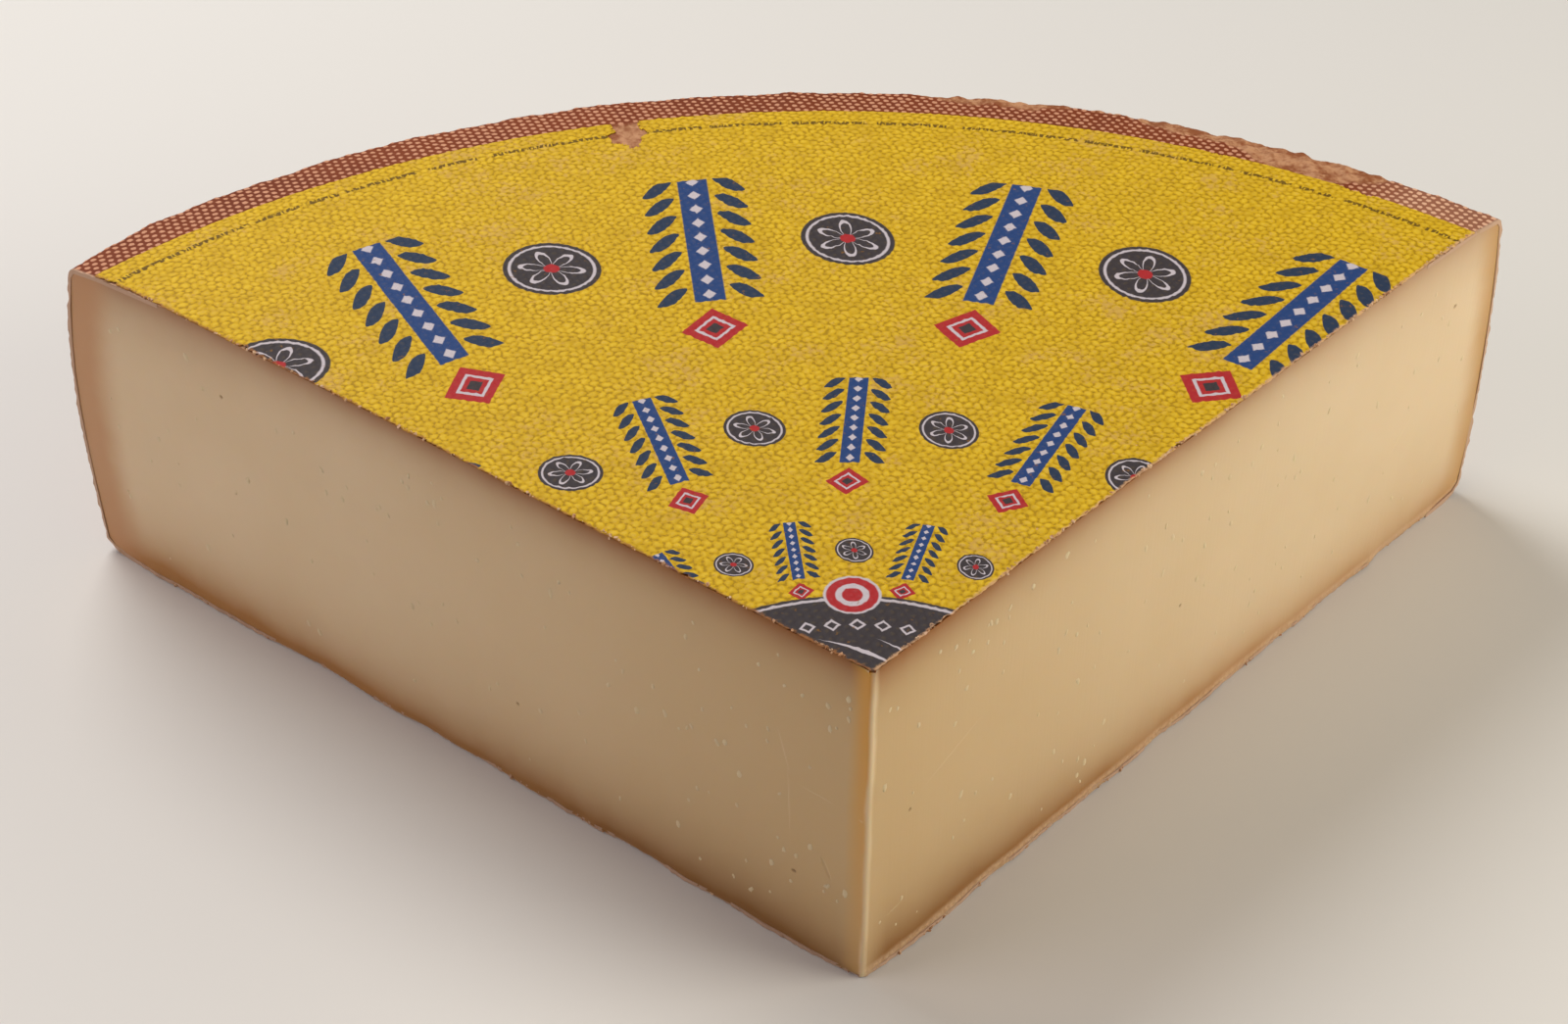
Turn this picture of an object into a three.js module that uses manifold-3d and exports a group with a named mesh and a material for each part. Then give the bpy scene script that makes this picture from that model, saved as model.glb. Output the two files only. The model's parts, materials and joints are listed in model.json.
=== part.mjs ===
// A quarter of a large hard cheese wheel, cut with a knife, with a thin printed paper label on its top.
// Millimetres, +Z up. The point of the wedge looks towards -Y and the rounded heel towards +Y, and the
// part stands on z = 0 with the middle of its footprint at the origin.
import * as THREE from 'three';
import { mergeVertices } from 'three/addons/utils/BufferGeometryUtils.js';
import Module from 'manifold-3d';

const wasm = await Module();
wasm.setup();

// Wheel
const WHEEL_HEIGHT = 108;          // flat underside to flat top
const TOP_EDGE_RADIUS = 305.5;     // where the top turns into the heel
const EDGE_ROUND = 2.5;            // radius of that turn
const SHOULDER_START = 262;        // the top is flat out to here, then sinks towards its edge
const SHOULDER_DROP = 3.3;
const HEEL_BULGE = 7;              // how far the heel stands out past the top edge
const HEEL_BULGE_HEIGHT = 48;
const HEEL_FOOT_BULGE = 4.2;       // the same at the lower edge, before it turns under
const FOOT_ROUND_HEIGHT = 4;
const FOOT_ROUND_WIDTH = 10;
const HEEL_SPREAD = 0.4;           // the heel stands out this much more all round
const FLATTENED = [                // but falls back by the cuts, here in degrees round the wheel from +Y
  { at: -46, across: 7, depth: 5.9 },
  { at: 47, across: 7, depth: 1 },
];
const HEEL_WAVE = 0.35;            // shallow dents from handling, round the heel
const HEEL_WAVES_PER_TURN = [11, 26];
const HEEL_WAVE_HEIGHT = 70;       // height over which a dent fades into the next
const STEPS_PER_TURN = 240;
const SHOULDER_STEPS = 8;
const HEEL_STEPS = 10;

// Cuts: two upright knife cuts that meet a little behind the middle of the wheel
const CUT_ANGLE = THREE.MathUtils.degToRad(95);
const WHEEL_CENTRE = new THREE.Vector2(-6.8, -32.9);   // seen from the wedge's point
const POINT_BEVEL = 1.4;           // the point is worn off by this much
const KNIFE_REACH = 700;           // longer and higher than the wheel

// Label
const LABEL_RADIUS = 291;
const LABEL_THICKNESS = 0.4;
const LABEL_GAP = 0.3;             // clear of the rind that it lies on

// Where a bit of the label is torn out of its rim: place round the wheel in degrees from +Y, then the
// torn edge as steps along the rim and in from it
const TEARS = [
  {
    at: -8.2,
    edge: [[-5.5, -4], [-5, 4.5], [-7.5, 7], [-7, 13], [-3.8, 14], [-1, 17], [2.2, 16.5], [3.5, 12], [5.6, 7],
      [4.6, 4], [4.2, -4]],
  },
  { at: 36, edge: [[-7, -3], [-5, 0.6], [-1.5, 1.6], [2.5, 1.2], [5, 2.2], [8, 0.4], [9, -3]] },
  { at: 27.5, edge: [[-4, -3], [-2.6, 0.7], [0.5, 1.1], [3.4, 0.5], [4.4, -3]] },
];

const RIND_AND_PASTE = { color: '#c9ad7c', roughness: 0.55, metalness: 0 };
const PRINTED_PAPER = { color: '#d8b022', roughness: 0.6, metalness: 0 };

/** How far the top lies under its flat middle at a distance from the wheel's axis. */
function shoulderDrop(radius) {
  const past = Math.max(0, radius - SHOULDER_START) / (TOP_EDGE_RADIUS - SHOULDER_START);
  return SHOULDER_DROP * past * past;
}

/** Points of the top from the edge of its flat middle out to a radius, at a height over the rind. */
function shoulder(radius, over) {
  const points = [];
  for (let i = 0; i <= SHOULDER_STEPS; i += 1) {
    const r = THREE.MathUtils.lerp(SHOULDER_START, radius, i / SHOULDER_STEPS);
    points.push(new THREE.Vector2(r, WHEEL_HEIGHT - shoulderDrop(r) + over));
  }
  return points;
}

/** How far the heel stands out of a true circle, at an angle round the wheel and a height. */
function heelOffset(angle, z) {
  const [long, short] = HEEL_WAVES_PER_TURN;
  const rise = (Math.PI * z) / HEEL_WAVE_HEIGHT;
  const wave = Math.sin(long * angle + rise) + 0.6 * Math.sin(short * angle - 1.7 * rise + 1);
  const degrees = THREE.MathUtils.radToDeg(angle);
  const back = FLATTENED.reduce(
    (total, { at, across, depth }) => total + depth * Math.exp(-(((degrees - at) / across) ** 2)),
    0,
  );
  return HEEL_SPREAD + HEEL_WAVE * wave - back;
}

/** Turns a profile of radius and height round the wheel's axis, and works the heel's dents into it. */
function turned(profile) {
  const geometry = new THREE.LatheGeometry(profile, STEPS_PER_TURN);
  geometry.rotateX(Math.PI / 2);
  const place = geometry.attributes.position;
  for (let i = 0; i < place.count; i += 1) {
    const radius = Math.hypot(place.getX(i), place.getY(i));
    if (radius > SHOULDER_START) {
      const share = Math.min(1, (radius - SHOULDER_START) / (TOP_EDGE_RADIUS - SHOULDER_START));
      const offset = heelOffset(Math.atan2(place.getX(i), place.getY(i)), place.getZ(i)) * share;
      const grown = 1 + offset / radius;
      place.setXY(i, place.getX(i) * grown, place.getY(i) * grown);
    }
  }
  geometry.translate(WHEEL_CENTRE.x, WHEEL_CENTRE.y, 0);
  return geometry;
}

/** A closed geometry as a solid for cutting, without the empty triangles at a lathe's poles. */
function solid(geometry) {
  geometry.deleteAttribute('normal');
  geometry.deleteAttribute('uv');
  const merged = mergeVertices(geometry, 1e-4);
  const index = merged.index.array;
  const triangles = [];
  for (let i = 0; i < index.length; i += 3) {
    const [a, b, c] = [index[i], index[i + 1], index[i + 2]];
    if (a !== b && b !== c && c !== a) {
      triangles.push(a, b, c);
    }
  }
  return new wasm.Manifold(new wasm.Mesh({
    numProp: 3,
    vertProperties: new Float32Array(merged.attributes.position.array),
    triVerts: new Uint32Array(triangles),
  }));
}

/** A solid's surface as a geometry. */
function surface(body) {
  const mesh = body.getMesh();
  const geometry = new THREE.BufferGeometry();
  geometry.setAttribute('position', new THREE.BufferAttribute(new Float32Array(mesh.vertProperties), 3));
  geometry.setIndex(new THREE.BufferAttribute(new Uint32Array(mesh.triVerts), 1));
  geometry.computeVertexNormals();
  return geometry;
}

/** The space between the two cuts, with the point worn off. */
function betweenCuts() {
  const half = CUT_ANGLE / 2;
  const side = new THREE.Vector2(Math.sin(half), Math.cos(half));
  const outline = new THREE.Shape([
    new THREE.Vector2(side.x * POINT_BEVEL, side.y * POINT_BEVEL),
    new THREE.Vector2(side.x * KNIFE_REACH, side.y * KNIFE_REACH),
    new THREE.Vector2(-side.x * KNIFE_REACH, side.y * KNIFE_REACH),
    new THREE.Vector2(-side.x * POINT_BEVEL, side.y * POINT_BEVEL),
  ]);
  const prism = new THREE.ExtrudeGeometry(outline, { depth: KNIFE_REACH, bevelEnabled: false });
  prism.translate(0, 0, -KNIFE_REACH / 2);
  return solid(prism);
}

/** The upright block that a tear takes out of the label. */
function tearBlock({ at, edge }) {
  const angle = THREE.MathUtils.degToRad(at);
  const outline = new THREE.Shape(edge.map(([along, inwards]) => {
    const radius = LABEL_RADIUS - inwards;
    const turn = angle + along / LABEL_RADIUS;
    return new THREE.Vector2(
      WHEEL_CENTRE.x + radius * Math.sin(turn),
      WHEEL_CENTRE.y + radius * Math.cos(turn),
    );
  }));
  const prism = new THREE.ExtrudeGeometry(outline, { depth: WHEEL_HEIGHT, bevelEnabled: false });
  prism.translate(0, 0, WHEEL_HEIGHT / 2);
  return solid(prism);
}

/** The cheese itself: paste and rind are one piece. */
function cheese(cuts) {
  const top = TOP_EDGE_RADIUS;
  const edgeTop = WHEEL_HEIGHT - SHOULDER_DROP;
  const foot = top + HEEL_FOOT_BULGE;
  const heel = new THREE.SplineCurve([
    new THREE.Vector2(foot, FOOT_ROUND_HEIGHT),
    new THREE.Vector2(top + HEEL_BULGE, HEEL_BULGE_HEIGHT),
    new THREE.Vector2(top + EDGE_ROUND / 2, edgeTop - EDGE_ROUND),
  ]);
  const underEdge = new THREE.QuadraticBezierCurve(
    new THREE.Vector2(foot - FOOT_ROUND_WIDTH, 0),
    new THREE.Vector2(foot - 1, 0.6),
    new THREE.Vector2(foot, FOOT_ROUND_HEIGHT),
  );
  const profile = [
    new THREE.Vector2(0, 0),
    ...underEdge.getPoints(4),
    ...heel.getPoints(HEEL_STEPS).slice(1),
    new THREE.Vector2(top + EDGE_ROUND / 4, edgeTop - EDGE_ROUND / 4),
    ...shoulder(top - EDGE_ROUND / 2, 0).reverse(),
    new THREE.Vector2(0, WHEEL_HEIGHT),
  ];
  return solid(turned(profile)).intersect(cuts);
}

/** The paper label: it follows the top out to its own rim, is cut with the cheese and is torn at its rim. */
function label(cuts) {
  const under = shoulder(LABEL_RADIUS, LABEL_GAP);
  const over = shoulder(LABEL_RADIUS, LABEL_GAP + LABEL_THICKNESS).reverse();
  const profile = [
    new THREE.Vector2(0, WHEEL_HEIGHT + LABEL_GAP),
    ...under,
    ...over,
    new THREE.Vector2(0, WHEEL_HEIGHT + LABEL_GAP + LABEL_THICKNESS),
  ];
  return TEARS.reduce(
    (sheet, tear) => sheet.subtract(tearBlock(tear)),
    solid(turned(profile)).intersect(cuts),
  );
}

/** A named mesh with its own finish. */
function piece(name, body, finish) {
  const mesh = new THREE.Mesh(surface(body), new THREE.MeshStandardMaterial(finish));
  mesh.name = name;
  return mesh;
}

const cuts = betweenCuts();
const wedge = new THREE.Group();
wedge.add(piece('cheese', cheese(cuts), RIND_AND_PASTE));
wedge.add(piece('label', label(cuts), PRINTED_PAPER));

// The middle of the footprint goes to the origin
const footprint = new THREE.Box3().setFromObject(wedge);
const middle = footprint.getCenter(new THREE.Vector3());
wedge.position.set(-middle.x, -middle.y, 0);

const part = new THREE.Group();
part.add(wedge);

export default part;
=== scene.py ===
"""A quarter wheel of hard mountain cheese, cut with a knife, with a printed label on its top.

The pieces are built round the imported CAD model, in its frame. Blender works in metres, and every size
below is in millimetres unless its name or comment says otherwise.
"""

import json
import logging
import math
from collections.abc import Iterable, Iterator
from contextlib import contextmanager
from dataclasses import dataclass, field
from enum import Enum

import bpy
import numpy as np
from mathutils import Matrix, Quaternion, Vector

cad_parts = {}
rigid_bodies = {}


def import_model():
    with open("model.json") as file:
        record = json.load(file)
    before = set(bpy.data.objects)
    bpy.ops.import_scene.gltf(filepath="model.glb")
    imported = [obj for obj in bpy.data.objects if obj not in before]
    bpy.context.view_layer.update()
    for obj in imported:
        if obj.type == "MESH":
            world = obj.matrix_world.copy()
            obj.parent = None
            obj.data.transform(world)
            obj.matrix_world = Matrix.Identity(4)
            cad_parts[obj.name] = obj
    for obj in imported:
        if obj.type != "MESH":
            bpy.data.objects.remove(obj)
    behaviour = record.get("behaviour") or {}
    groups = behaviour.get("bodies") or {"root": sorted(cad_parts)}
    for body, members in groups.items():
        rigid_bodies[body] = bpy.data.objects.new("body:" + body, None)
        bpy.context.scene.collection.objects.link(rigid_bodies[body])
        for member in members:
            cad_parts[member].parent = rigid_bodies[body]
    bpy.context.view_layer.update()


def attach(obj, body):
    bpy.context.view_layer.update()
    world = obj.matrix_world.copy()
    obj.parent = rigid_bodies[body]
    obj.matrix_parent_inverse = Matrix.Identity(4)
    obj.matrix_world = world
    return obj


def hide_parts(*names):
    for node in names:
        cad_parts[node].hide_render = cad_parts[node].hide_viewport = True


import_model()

Piece = bpy.types.Object
Socket = bpy.types.NodeSocket
Array = np.ndarray
LOG = logging.getLogger("cheese")
MM = 0.001
SOFT = {"interpolation_type": "SMOOTHSTEP"}


class Cut(Enum):
    """The two knife cuts, seen with the point towards the viewer."""

    LEFT = -1
    RIGHT = 1


class MarkKind(Enum):
    """What can be seen on a cut face besides the paste itself."""

    EYE = "a small round hole"
    GOUGE = "a scrape where a crumb came away"
    SCRATCH = "a hairline from the knife"


@dataclass(frozen=True)
class Mark:
    """One mark on a cut face.

    Attributes:
        cut: The face that it is on.
        kind: What it is.
        along: Distance of its middle from the point, along the cut.
        height: Height of its middle over the floor.
        length: Its length, or a hole's width.
        width: Its width.
        turn: Direction of its length in degrees, up from the floor.
        depth: How far it goes in, or stands out where it is negative.
    """

    cut: Cut
    kind: MarkKind
    along: float
    height: float
    length: float
    width: float
    turn: float
    depth: float


# Helpers for meshes


def deselect() -> None:
    for thing in bpy.context.view_layer.objects:
        thing.select_set(False)


def newest(name: str) -> Piece:
    """Names the piece that was just added or joined, and returns it.

    Args:
        name: The piece's name.

    Returns:
        The piece.
    """
    made = bpy.context.object
    made.name = name
    made.data.name = name
    return made


def grid(name: str, columns: int, rows: int) -> Piece:
    """Adds a flat grid, one metre wide, round the origin.

    Args:
        name: The piece's name.
        columns: Cells in one direction.
        rows: Cells in the other.

    Returns:
        The grid.
    """
    deselect()
    bpy.ops.mesh.primitive_grid_add(x_subdivisions=columns, y_subdivisions=rows, size=1)
    return newest(name)


def read(items: bpy.types.bpy_prop_collection, name: str, kind: type, width: int = 1) -> Array:
    """Reads one value of every item of a mesh.

    Args:
        items: The mesh's vertices, edges, faces or their corners.
        name: The value's name.
        kind: The type of its numbers.
        width: How many numbers one item has.

    Returns:
        The numbers, in one row for each item where the width is more than 1.
    """
    flat = np.empty(len(items) * width, dtype=kind)
    items.foreach_get(name, flat)
    return flat.reshape(-1, width) if width > 1 else flat


def points(piece: Piece) -> Array:
    """The piece's vertices as rows of x, y and z, in millimetres."""
    return read(piece.data.vertices, "co", float, 3) / MM


def move_points(piece: Piece, places: Array) -> None:
    """Puts the piece's vertices at places given in millimetres."""
    piece.data.vertices.foreach_set("co", (places * MM).ravel())
    piece.data.update()


def select_points(piece: Piece, chosen: Array) -> None:
    """Selects vertices by a mask, with the faces and edges that lie wholly between them.

    Args:
        piece: The piece, in object mode.
        chosen: A truth value for each vertex.
    """
    mesh = piece.data
    mesh.vertices.foreach_set("select", chosen)
    mesh.edges.foreach_set("select", chosen[read(mesh.edges, "vertices", int, 2)].all(axis=1))
    corners = chosen[read(mesh.loops, "vertex_index", int)]
    starts = read(mesh.polygons, "loop_start", int)
    mesh.polygons.foreach_set("select", np.logical_and.reduceat(corners, starts))


def activate(piece: Piece) -> None:
    """Selects one piece alone and makes it active.

    Args:
        piece: The piece.
    """
    deselect()
    piece.select_set(True)
    bpy.context.view_layer.objects.active = piece


@contextmanager
def editing(piece: Piece, mode: str) -> Iterator[None]:
    """Opens a piece in edit mode, in one select mode, and closes it again.

    Args:
        piece: The piece to edit.
        mode: VERT, EDGE or FACE.
    """
    activate(piece)
    kinds = ("VERT", "EDGE", "FACE")
    bpy.context.tool_settings.mesh_select_mode = [kind == mode for kind in kinds]
    bpy.ops.object.mode_set(mode="EDIT")
    yield
    bpy.ops.object.mode_set(mode="OBJECT")


def store(piece: Piece, name: str, values: Array) -> None:
    """Keeps a number or a place for each vertex under a name that a material reads.

    Args:
        piece: The piece.
        name: The attribute's name.
        values: One number, or a row of three, for each vertex.
    """
    kind, part = ("FLOAT", "value") if values.ndim == 1 else ("FLOAT_VECTOR", "vector")
    layer = piece.data.attributes.new(name, kind, "POINT")
    layer.data.foreach_set(part, values.astype(np.float32).ravel())


def flat_map(piece: Piece, across: Array, up: Array) -> None:
    """Gives a piece a flat map named OFBake, from two coordinates of each vertex.

    Args:
        piece: The piece to map.
        across: One number for each vertex, in millimetres.
        up: The same, for the other direction.
    """
    mesh = piece.data
    corners = read(mesh.loops, "vertex_index", int)
    pair = np.stack([across[corners], up[corners]], axis=1)
    low = pair.min(axis=0)
    span = (pair.max(axis=0) - low).max() * 1.02
    layer = mesh.uv_layers.new(name="OFBake")
    layer.data.foreach_set("uv", ((pair - low) / span + 0.01).ravel())


def smooth(piece: Piece, degrees: float) -> None:
    """Shades a piece smooth, and keeps the edges that are sharper than an angle."""
    activate(piece)
    bpy.ops.object.shade_smooth_by_angle(angle=math.radians(degrees))


def face_out(piece: Piece) -> None:
    """Turns every face of a closed piece outwards.

    Args:
        piece: The piece.
    """
    with editing(piece, "FACE"):
        bpy.ops.mesh.select_all(action="SELECT")
        bpy.ops.mesh.normals_make_consistent(inside=False)
        bpy.ops.mesh.select_all(action="DESELECT")


def sweep(piece: Piece, outward: Array, rise: Array, half_angle: float, steps: int) -> None:
    """Stands a flat grid upright and spins it through the wedge's angle.

    Args:
        piece: The grid.
        outward: Distance of each vertex from the spin's axis, in metres.
        rise: Height of each vertex, in metres.
        half_angle: Half of the spin's angle.
        steps: How many steps the spin has.
    """
    move_points(piece, np.column_stack([np.zeros(len(outward)), outward, rise]) / MM)
    with editing(piece, "FACE"):
        bpy.ops.mesh.select_all(action="SELECT")
        bpy.ops.mesh.remove_doubles(threshold=1e-4)
        bpy.ops.transform.rotate(value=-half_angle, orient_axis="Z", center_override=(0, 0, 0))
        bpy.ops.mesh.spin(steps=steps, angle=2 * half_angle, center=(0, 0, 0), axis=(0, 0, 1))


def scatter(pattern: Piece, shapes: list[Array], name: str, degrees: float) -> Piece:
    """Makes one piece of many copies of a small pattern.

    Args:
        pattern: The pattern, which is taken away.
        shapes: The vertices of each copy, in millimetres.
        name: The piece's name.
        degrees: Edges that are sharper than this stay sharp.

    Returns:
        The piece.
    """
    deselect()
    copies = []
    for places in shapes:
        copy = pattern.copy()
        copy.data = pattern.data.copy()
        bpy.context.collection.objects.link(copy)
        move_points(copy, places)
        copy.select_set(True)
        copies.append(copy)
    bpy.data.objects.remove(pattern)
    bpy.context.view_layer.objects.active = copies[0]
    bpy.ops.object.join()
    made = newest(name)
    smooth(made, degrees)
    return made


# Helpers for materials


def linear(code: str) -> tuple[float, float, float, float]:
    """An sRGB hex colour such as "#c9ad7c" as linear red, green, blue and alpha.

    Args:
        code: The colour's code.

    Returns:
        Its parts, each from 0 to 1.
    """
    parts = [int(code[i : i + 2], 16) / 255 for i in (1, 3, 5)]
    red, green, blue = (p / 12.92 if p <= 0.04045 else ((p + 0.055) / 1.055) ** 2.4 for p in parts)
    return (red, green, blue, 1.0)


@dataclass
class Wiring:
    """A new material and its nodes, which end in a lone Principled BSDF."""

    name: str

    def __post_init__(self) -> None:
        """Makes the material."""
        self.material = bpy.data.materials.new(self.name)
        self.material.use_nodes = True
        self.tree = self.material.node_tree

    def add(self, kind: str, *values: object, out: int | str = 0, **settings: object) -> Socket:
        """Adds a node with its settings and links.

        Args:
            kind: The node's type, without its ShaderNode beginning. After a dot comes its operation.
            *values: What goes into its inputs in order, as in feed.
            out: The output that is given back.
            **settings: The node's own settings.

        Returns:
            One of the node's outputs.
        """
        kind, _, operation = kind.partition(".")
        node = self.tree.nodes.new("ShaderNode" + kind)
        if operation:
            node.operation = operation
        for name, value in settings.items():
            setattr(node, name, value)
        for socket, value in zip(node.inputs, values):
            self.feed(socket, value)
        return node.outputs[out]

    def feed(self, socket: Socket, value: object) -> None:
        """Gives an input a link, a number, a list or an sRGB hex colour, or leaves it alone for None.

        Args:
            socket: The input.
            value: What goes into it.
        """
        if isinstance(value, Socket):
            self.tree.links.new(value, socket)
        elif value is not None:
            socket.default_value = linear(value) if isinstance(value, str) else value

    def millimetres(self) -> Socket:
        """The place on the piece, in millimetres."""
        return self.add("VectorMath.MULTIPLY", self.add("TexCoord", out="Object"), (1000, 1000, 1000))

    def paint(self, colour: object, layers: Iterable[tuple[object, object]]) -> Socket:
        """Lays colours over one another.

        Args:
            colour: The ground.
            layers: Each layer's share and its colour, from the lowest to the topmost.

        Returns:
            The colour that shows.
        """
        for share, ink in layers:
            colour = self.add("MixRGB", share, colour, ink)
        return colour

    def finish(self, sockets: dict[str, object]) -> bpy.types.Material:
        """Sets or links the shader's own sockets by name, and returns the material.

        Args:
            sockets: What goes into each socket.

        Returns:
            The material.
        """
        shader = self.tree.nodes["Principled BSDF"]
        for name, value in sockets.items():
            self.feed(shader.inputs[name], value)
        return self.material


# The shape that all pieces share


@dataclass(frozen=True)
class Wheel:
    """The whole cheese that the wedge was cut from. Its cuts meet a little behind its axis.

    Attributes:
        height: From the flat underside to the flat top.
        top_edge: Radius where the top turns into the heel.
        shoulder_start: Out to this radius the top is flat, then it sinks.
        shoulder_drop: How far it has sunk at its edge.
        edge_round: Radius of the turn from the top to the heel.
        heel_heights: The three heights at which the heel's radius is given.
        heel_radii: The heel's radius there.
        foot_width: How far in the foot is rounded.
        heel_spread: How much further the heel stands out all round.
        flattened: Where it falls back: degrees round the axis, width in degrees, and depth.
        heel_wave: Depth of its dents from handling.
        waves_per_turn: How many long and short dents go round.
        wave_height: Height over which a dent fades into the next.
        point: Where the two cuts meet, in plan.
        axis: The wheel's axis, in plan.
        half_angle: Half of the angle between the cuts.
        point_round: Radius of the worn point.
        knife_waves: Height of the long and of the short waves that the knife left.
        left_foot: Distance along the left cut, and how far its foot stands out there.
        right_foot: The same for the right cut.
    """

    height: float = 108.0
    top_edge: float = 305.5
    shoulder_start: float = 262.0
    shoulder_drop: float = 3.3
    edge_round: float = 2.5
    heel_heights: tuple[float, ...] = (4.0, 48.0, 102.2)
    heel_radii: tuple[float, ...] = (309.7, 312.5, 306.75)
    foot_width: float = 10.0
    heel_spread: float = 0.4
    flattened: tuple[tuple[float, float, float], ...] = ((-46.0, 7.0, 5.9), (47.0, 7.0, 1.0))
    heel_wave: float = 0.35
    waves_per_turn: tuple[int, int] = (11, 26)
    wave_height: float = 70.0
    point: tuple[float, float] = (2.317, -140.608)
    axis: tuple[float, float] = (-4.483, -173.508)
    half_angle: float = math.radians(47.5)
    point_round: float = 1.35
    knife_waves: tuple[float, float] = (0.28, 0.1)
    left_foot: tuple[tuple[float, float], ...] = (
        (0, -0.3), (9, 0.6), (17, 1.2), (32, 1.2), (44, 0.3), (52, 0.3), (59, 0.8), (72, -0.7),
        (83, -0.6), (92, 0.7), (97, 0.0), (102, 0.7), (107, 0.0), (115, 0.3), (132, -0.7), (145, -0.3),
        (154, -1.0), (167, 0.1), (185, -0.6), (198, -0.9), (210, 0.0), (222, 0.9), (235, 1.0),
        (250, 0.6), (265, 1.0), (278, 0.1),
    )
    right_foot: tuple[tuple[float, float], ...] = (
        (0, 0.0), (10, 0.8), (24, 1.3), (37, 1.0), (52, 0.1), (62, 0.9), (72, 0.45), (97, 0.4),
        (105, 0.9), (117, 0.9), (127, 0.0), (137, 0.9), (150, 1.0), (160, 0.3), (177, 0.5), (184, -0.1),
        (195, 0.5), (205, -0.2), (222, -0.2), (232, 0.5), (239, -0.8), (255, -0.6), (265, -0.2), (280, -0.5),
    )

    def heel_offset(self, turn: Array, height: Array) -> Array:
        """How far the heel stands out of a true circle, at an angle round the axis and a height.

        Args:
            turn: Angle round the axis, in radians.
            height: Height over the floor.

        Returns:
            The distance outwards.
        """
        long, short = self.waves_per_turn
        rise = math.pi * height / self.wave_height
        wave = np.sin(long * turn + rise) + 0.6 * np.sin(short * turn - 1.7 * rise + 1.0)
        offset = self.heel_spread + self.heel_wave * wave
        for at, across, depth in self.flattened:
            offset = offset - depth * np.exp(-(((np.degrees(turn) - at) / across) ** 2))
        return offset

    def heel_radius(self, height: Array) -> Array:
        """The heel's own radius at a height, before its dents."""
        return np.polyval(np.polyfit(self.heel_heights, self.heel_radii, 2), height)

    def past_shoulder(self, radius: Array) -> Array:
        """0 on the flat middle of the top and 1 at its edge."""
        return np.clip((radius - self.shoulder_start) / (self.top_edge - self.shoulder_start), 0, 1)

    def top(self, radius: Array) -> Array:
        """Height of the top: flat, then a shoulder that sinks, then the round edge.

        Args:
            radius: Distance from the axis.

        Returns:
            The height over the floor.
        """
        past = self.past_shoulder(radius)
        edge = np.clip((radius - self.top_edge + self.edge_round / 2) / self.edge_round, 0, 1)
        return self.height - self.shoulder_drop * past**2 - self.edge_round * edge**2

    def under(self, radius: Array) -> Array:
        """Height of the underside: flat, then the round foot."""
        inner = self.heel_radii[0] - self.foot_width
        return self.heel_heights[0] * np.clip((radius - inner) / self.foot_width, 0, 1) ** 3

    def round_axis(self, x: Array, y: Array) -> tuple[Array, Array]:
        """Distance from the wheel's axis, and angle round it from +Y towards +X."""
        across, ahead = x - self.axis[0], y - self.axis[1]
        return np.hypot(across, ahead), np.arctan2(across, ahead)

    def reach(self, angle: Array, radius: Array) -> Array:
        """How far from the point a ray meets a circle round the wheel's axis.

        Args:
            angle: The ray's direction at the point, from +Y towards +X.
            radius: The circle's radius.

        Returns:
            The distance from the point.
        """
        east, north = self.axis[0] - self.point[0], self.axis[1] - self.point[1]
        toward = east * np.sin(angle) + north * np.cos(angle)
        inside = np.maximum(radius**2 - east**2 - north**2 + toward**2, 0)
        return toward + np.sqrt(inside)

    def from_point(self, angle: Array, distance: Array) -> tuple[Array, Array]:
        """The x and y at a direction and distance from the point."""
        return self.point[0] + distance * np.sin(angle), self.point[1] + distance * np.cos(angle)

    def cut_normal(self, side: float) -> tuple[float, float]:
        """The outward direction of a cut face."""
        return side * math.cos(self.half_angle), -math.sin(self.half_angle)

    def outside(self, x: Array, y: Array, side: float) -> Array:
        """How far a place lies outside a cut's plane."""
        normal = self.cut_normal(side)
        return (x - self.point[0]) * normal[0] + (y - self.point[1]) * normal[1]

    def along(self, x: Array, y: Array, side: float) -> Array:
        """How far along a cut a place lies, from the point."""
        sin, cos = side * math.sin(self.half_angle), math.cos(self.half_angle)
        return (x - self.point[0]) * sin + (y - self.point[1]) * cos

    def beside(self, side: float, along: Array, out: Array) -> tuple[Array, Array]:
        """The x and y at a distance along a cut and a distance out of it.

        Args:
            side: -1 for the left cut and 1 for the right one.
            along: Distance from the point, along the cut.
            out: Distance out of the cut.

        Returns:
            The x and the y.
        """
        x, y = self.from_point(side * self.half_angle, along)
        normal = self.cut_normal(side)
        return x + out * normal[0], y + out * normal[1]

    def foot_line(self, side: float, along: Array) -> Array:
        """How far the uneven foot of a cut stands out of the cut's plane, or in if negative."""
        places, depths = zip(*(self.left_foot if side < 0 else self.right_foot))
        return np.interp(along, places, depths)

    def knife(self, side: float, along: Array, height: Array) -> Array:
        """The slow waves that the knife left, out of the flat cut.

        Args:
            side: -1 for the left cut and 1 for the right one.
            along: Distance from the point, along the cut.
            height: Height over the floor.

        Returns:
            The distance out of the cut.
        """
        long, short = self.knife_waves
        first = np.sin(along / 41 + height / 63 + side)
        second = np.sin(along / 17 - height / 36 + 2 * side)
        settle = np.clip(along / 20, 0, 1)
        return (long * first + short * second) * settle


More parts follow.
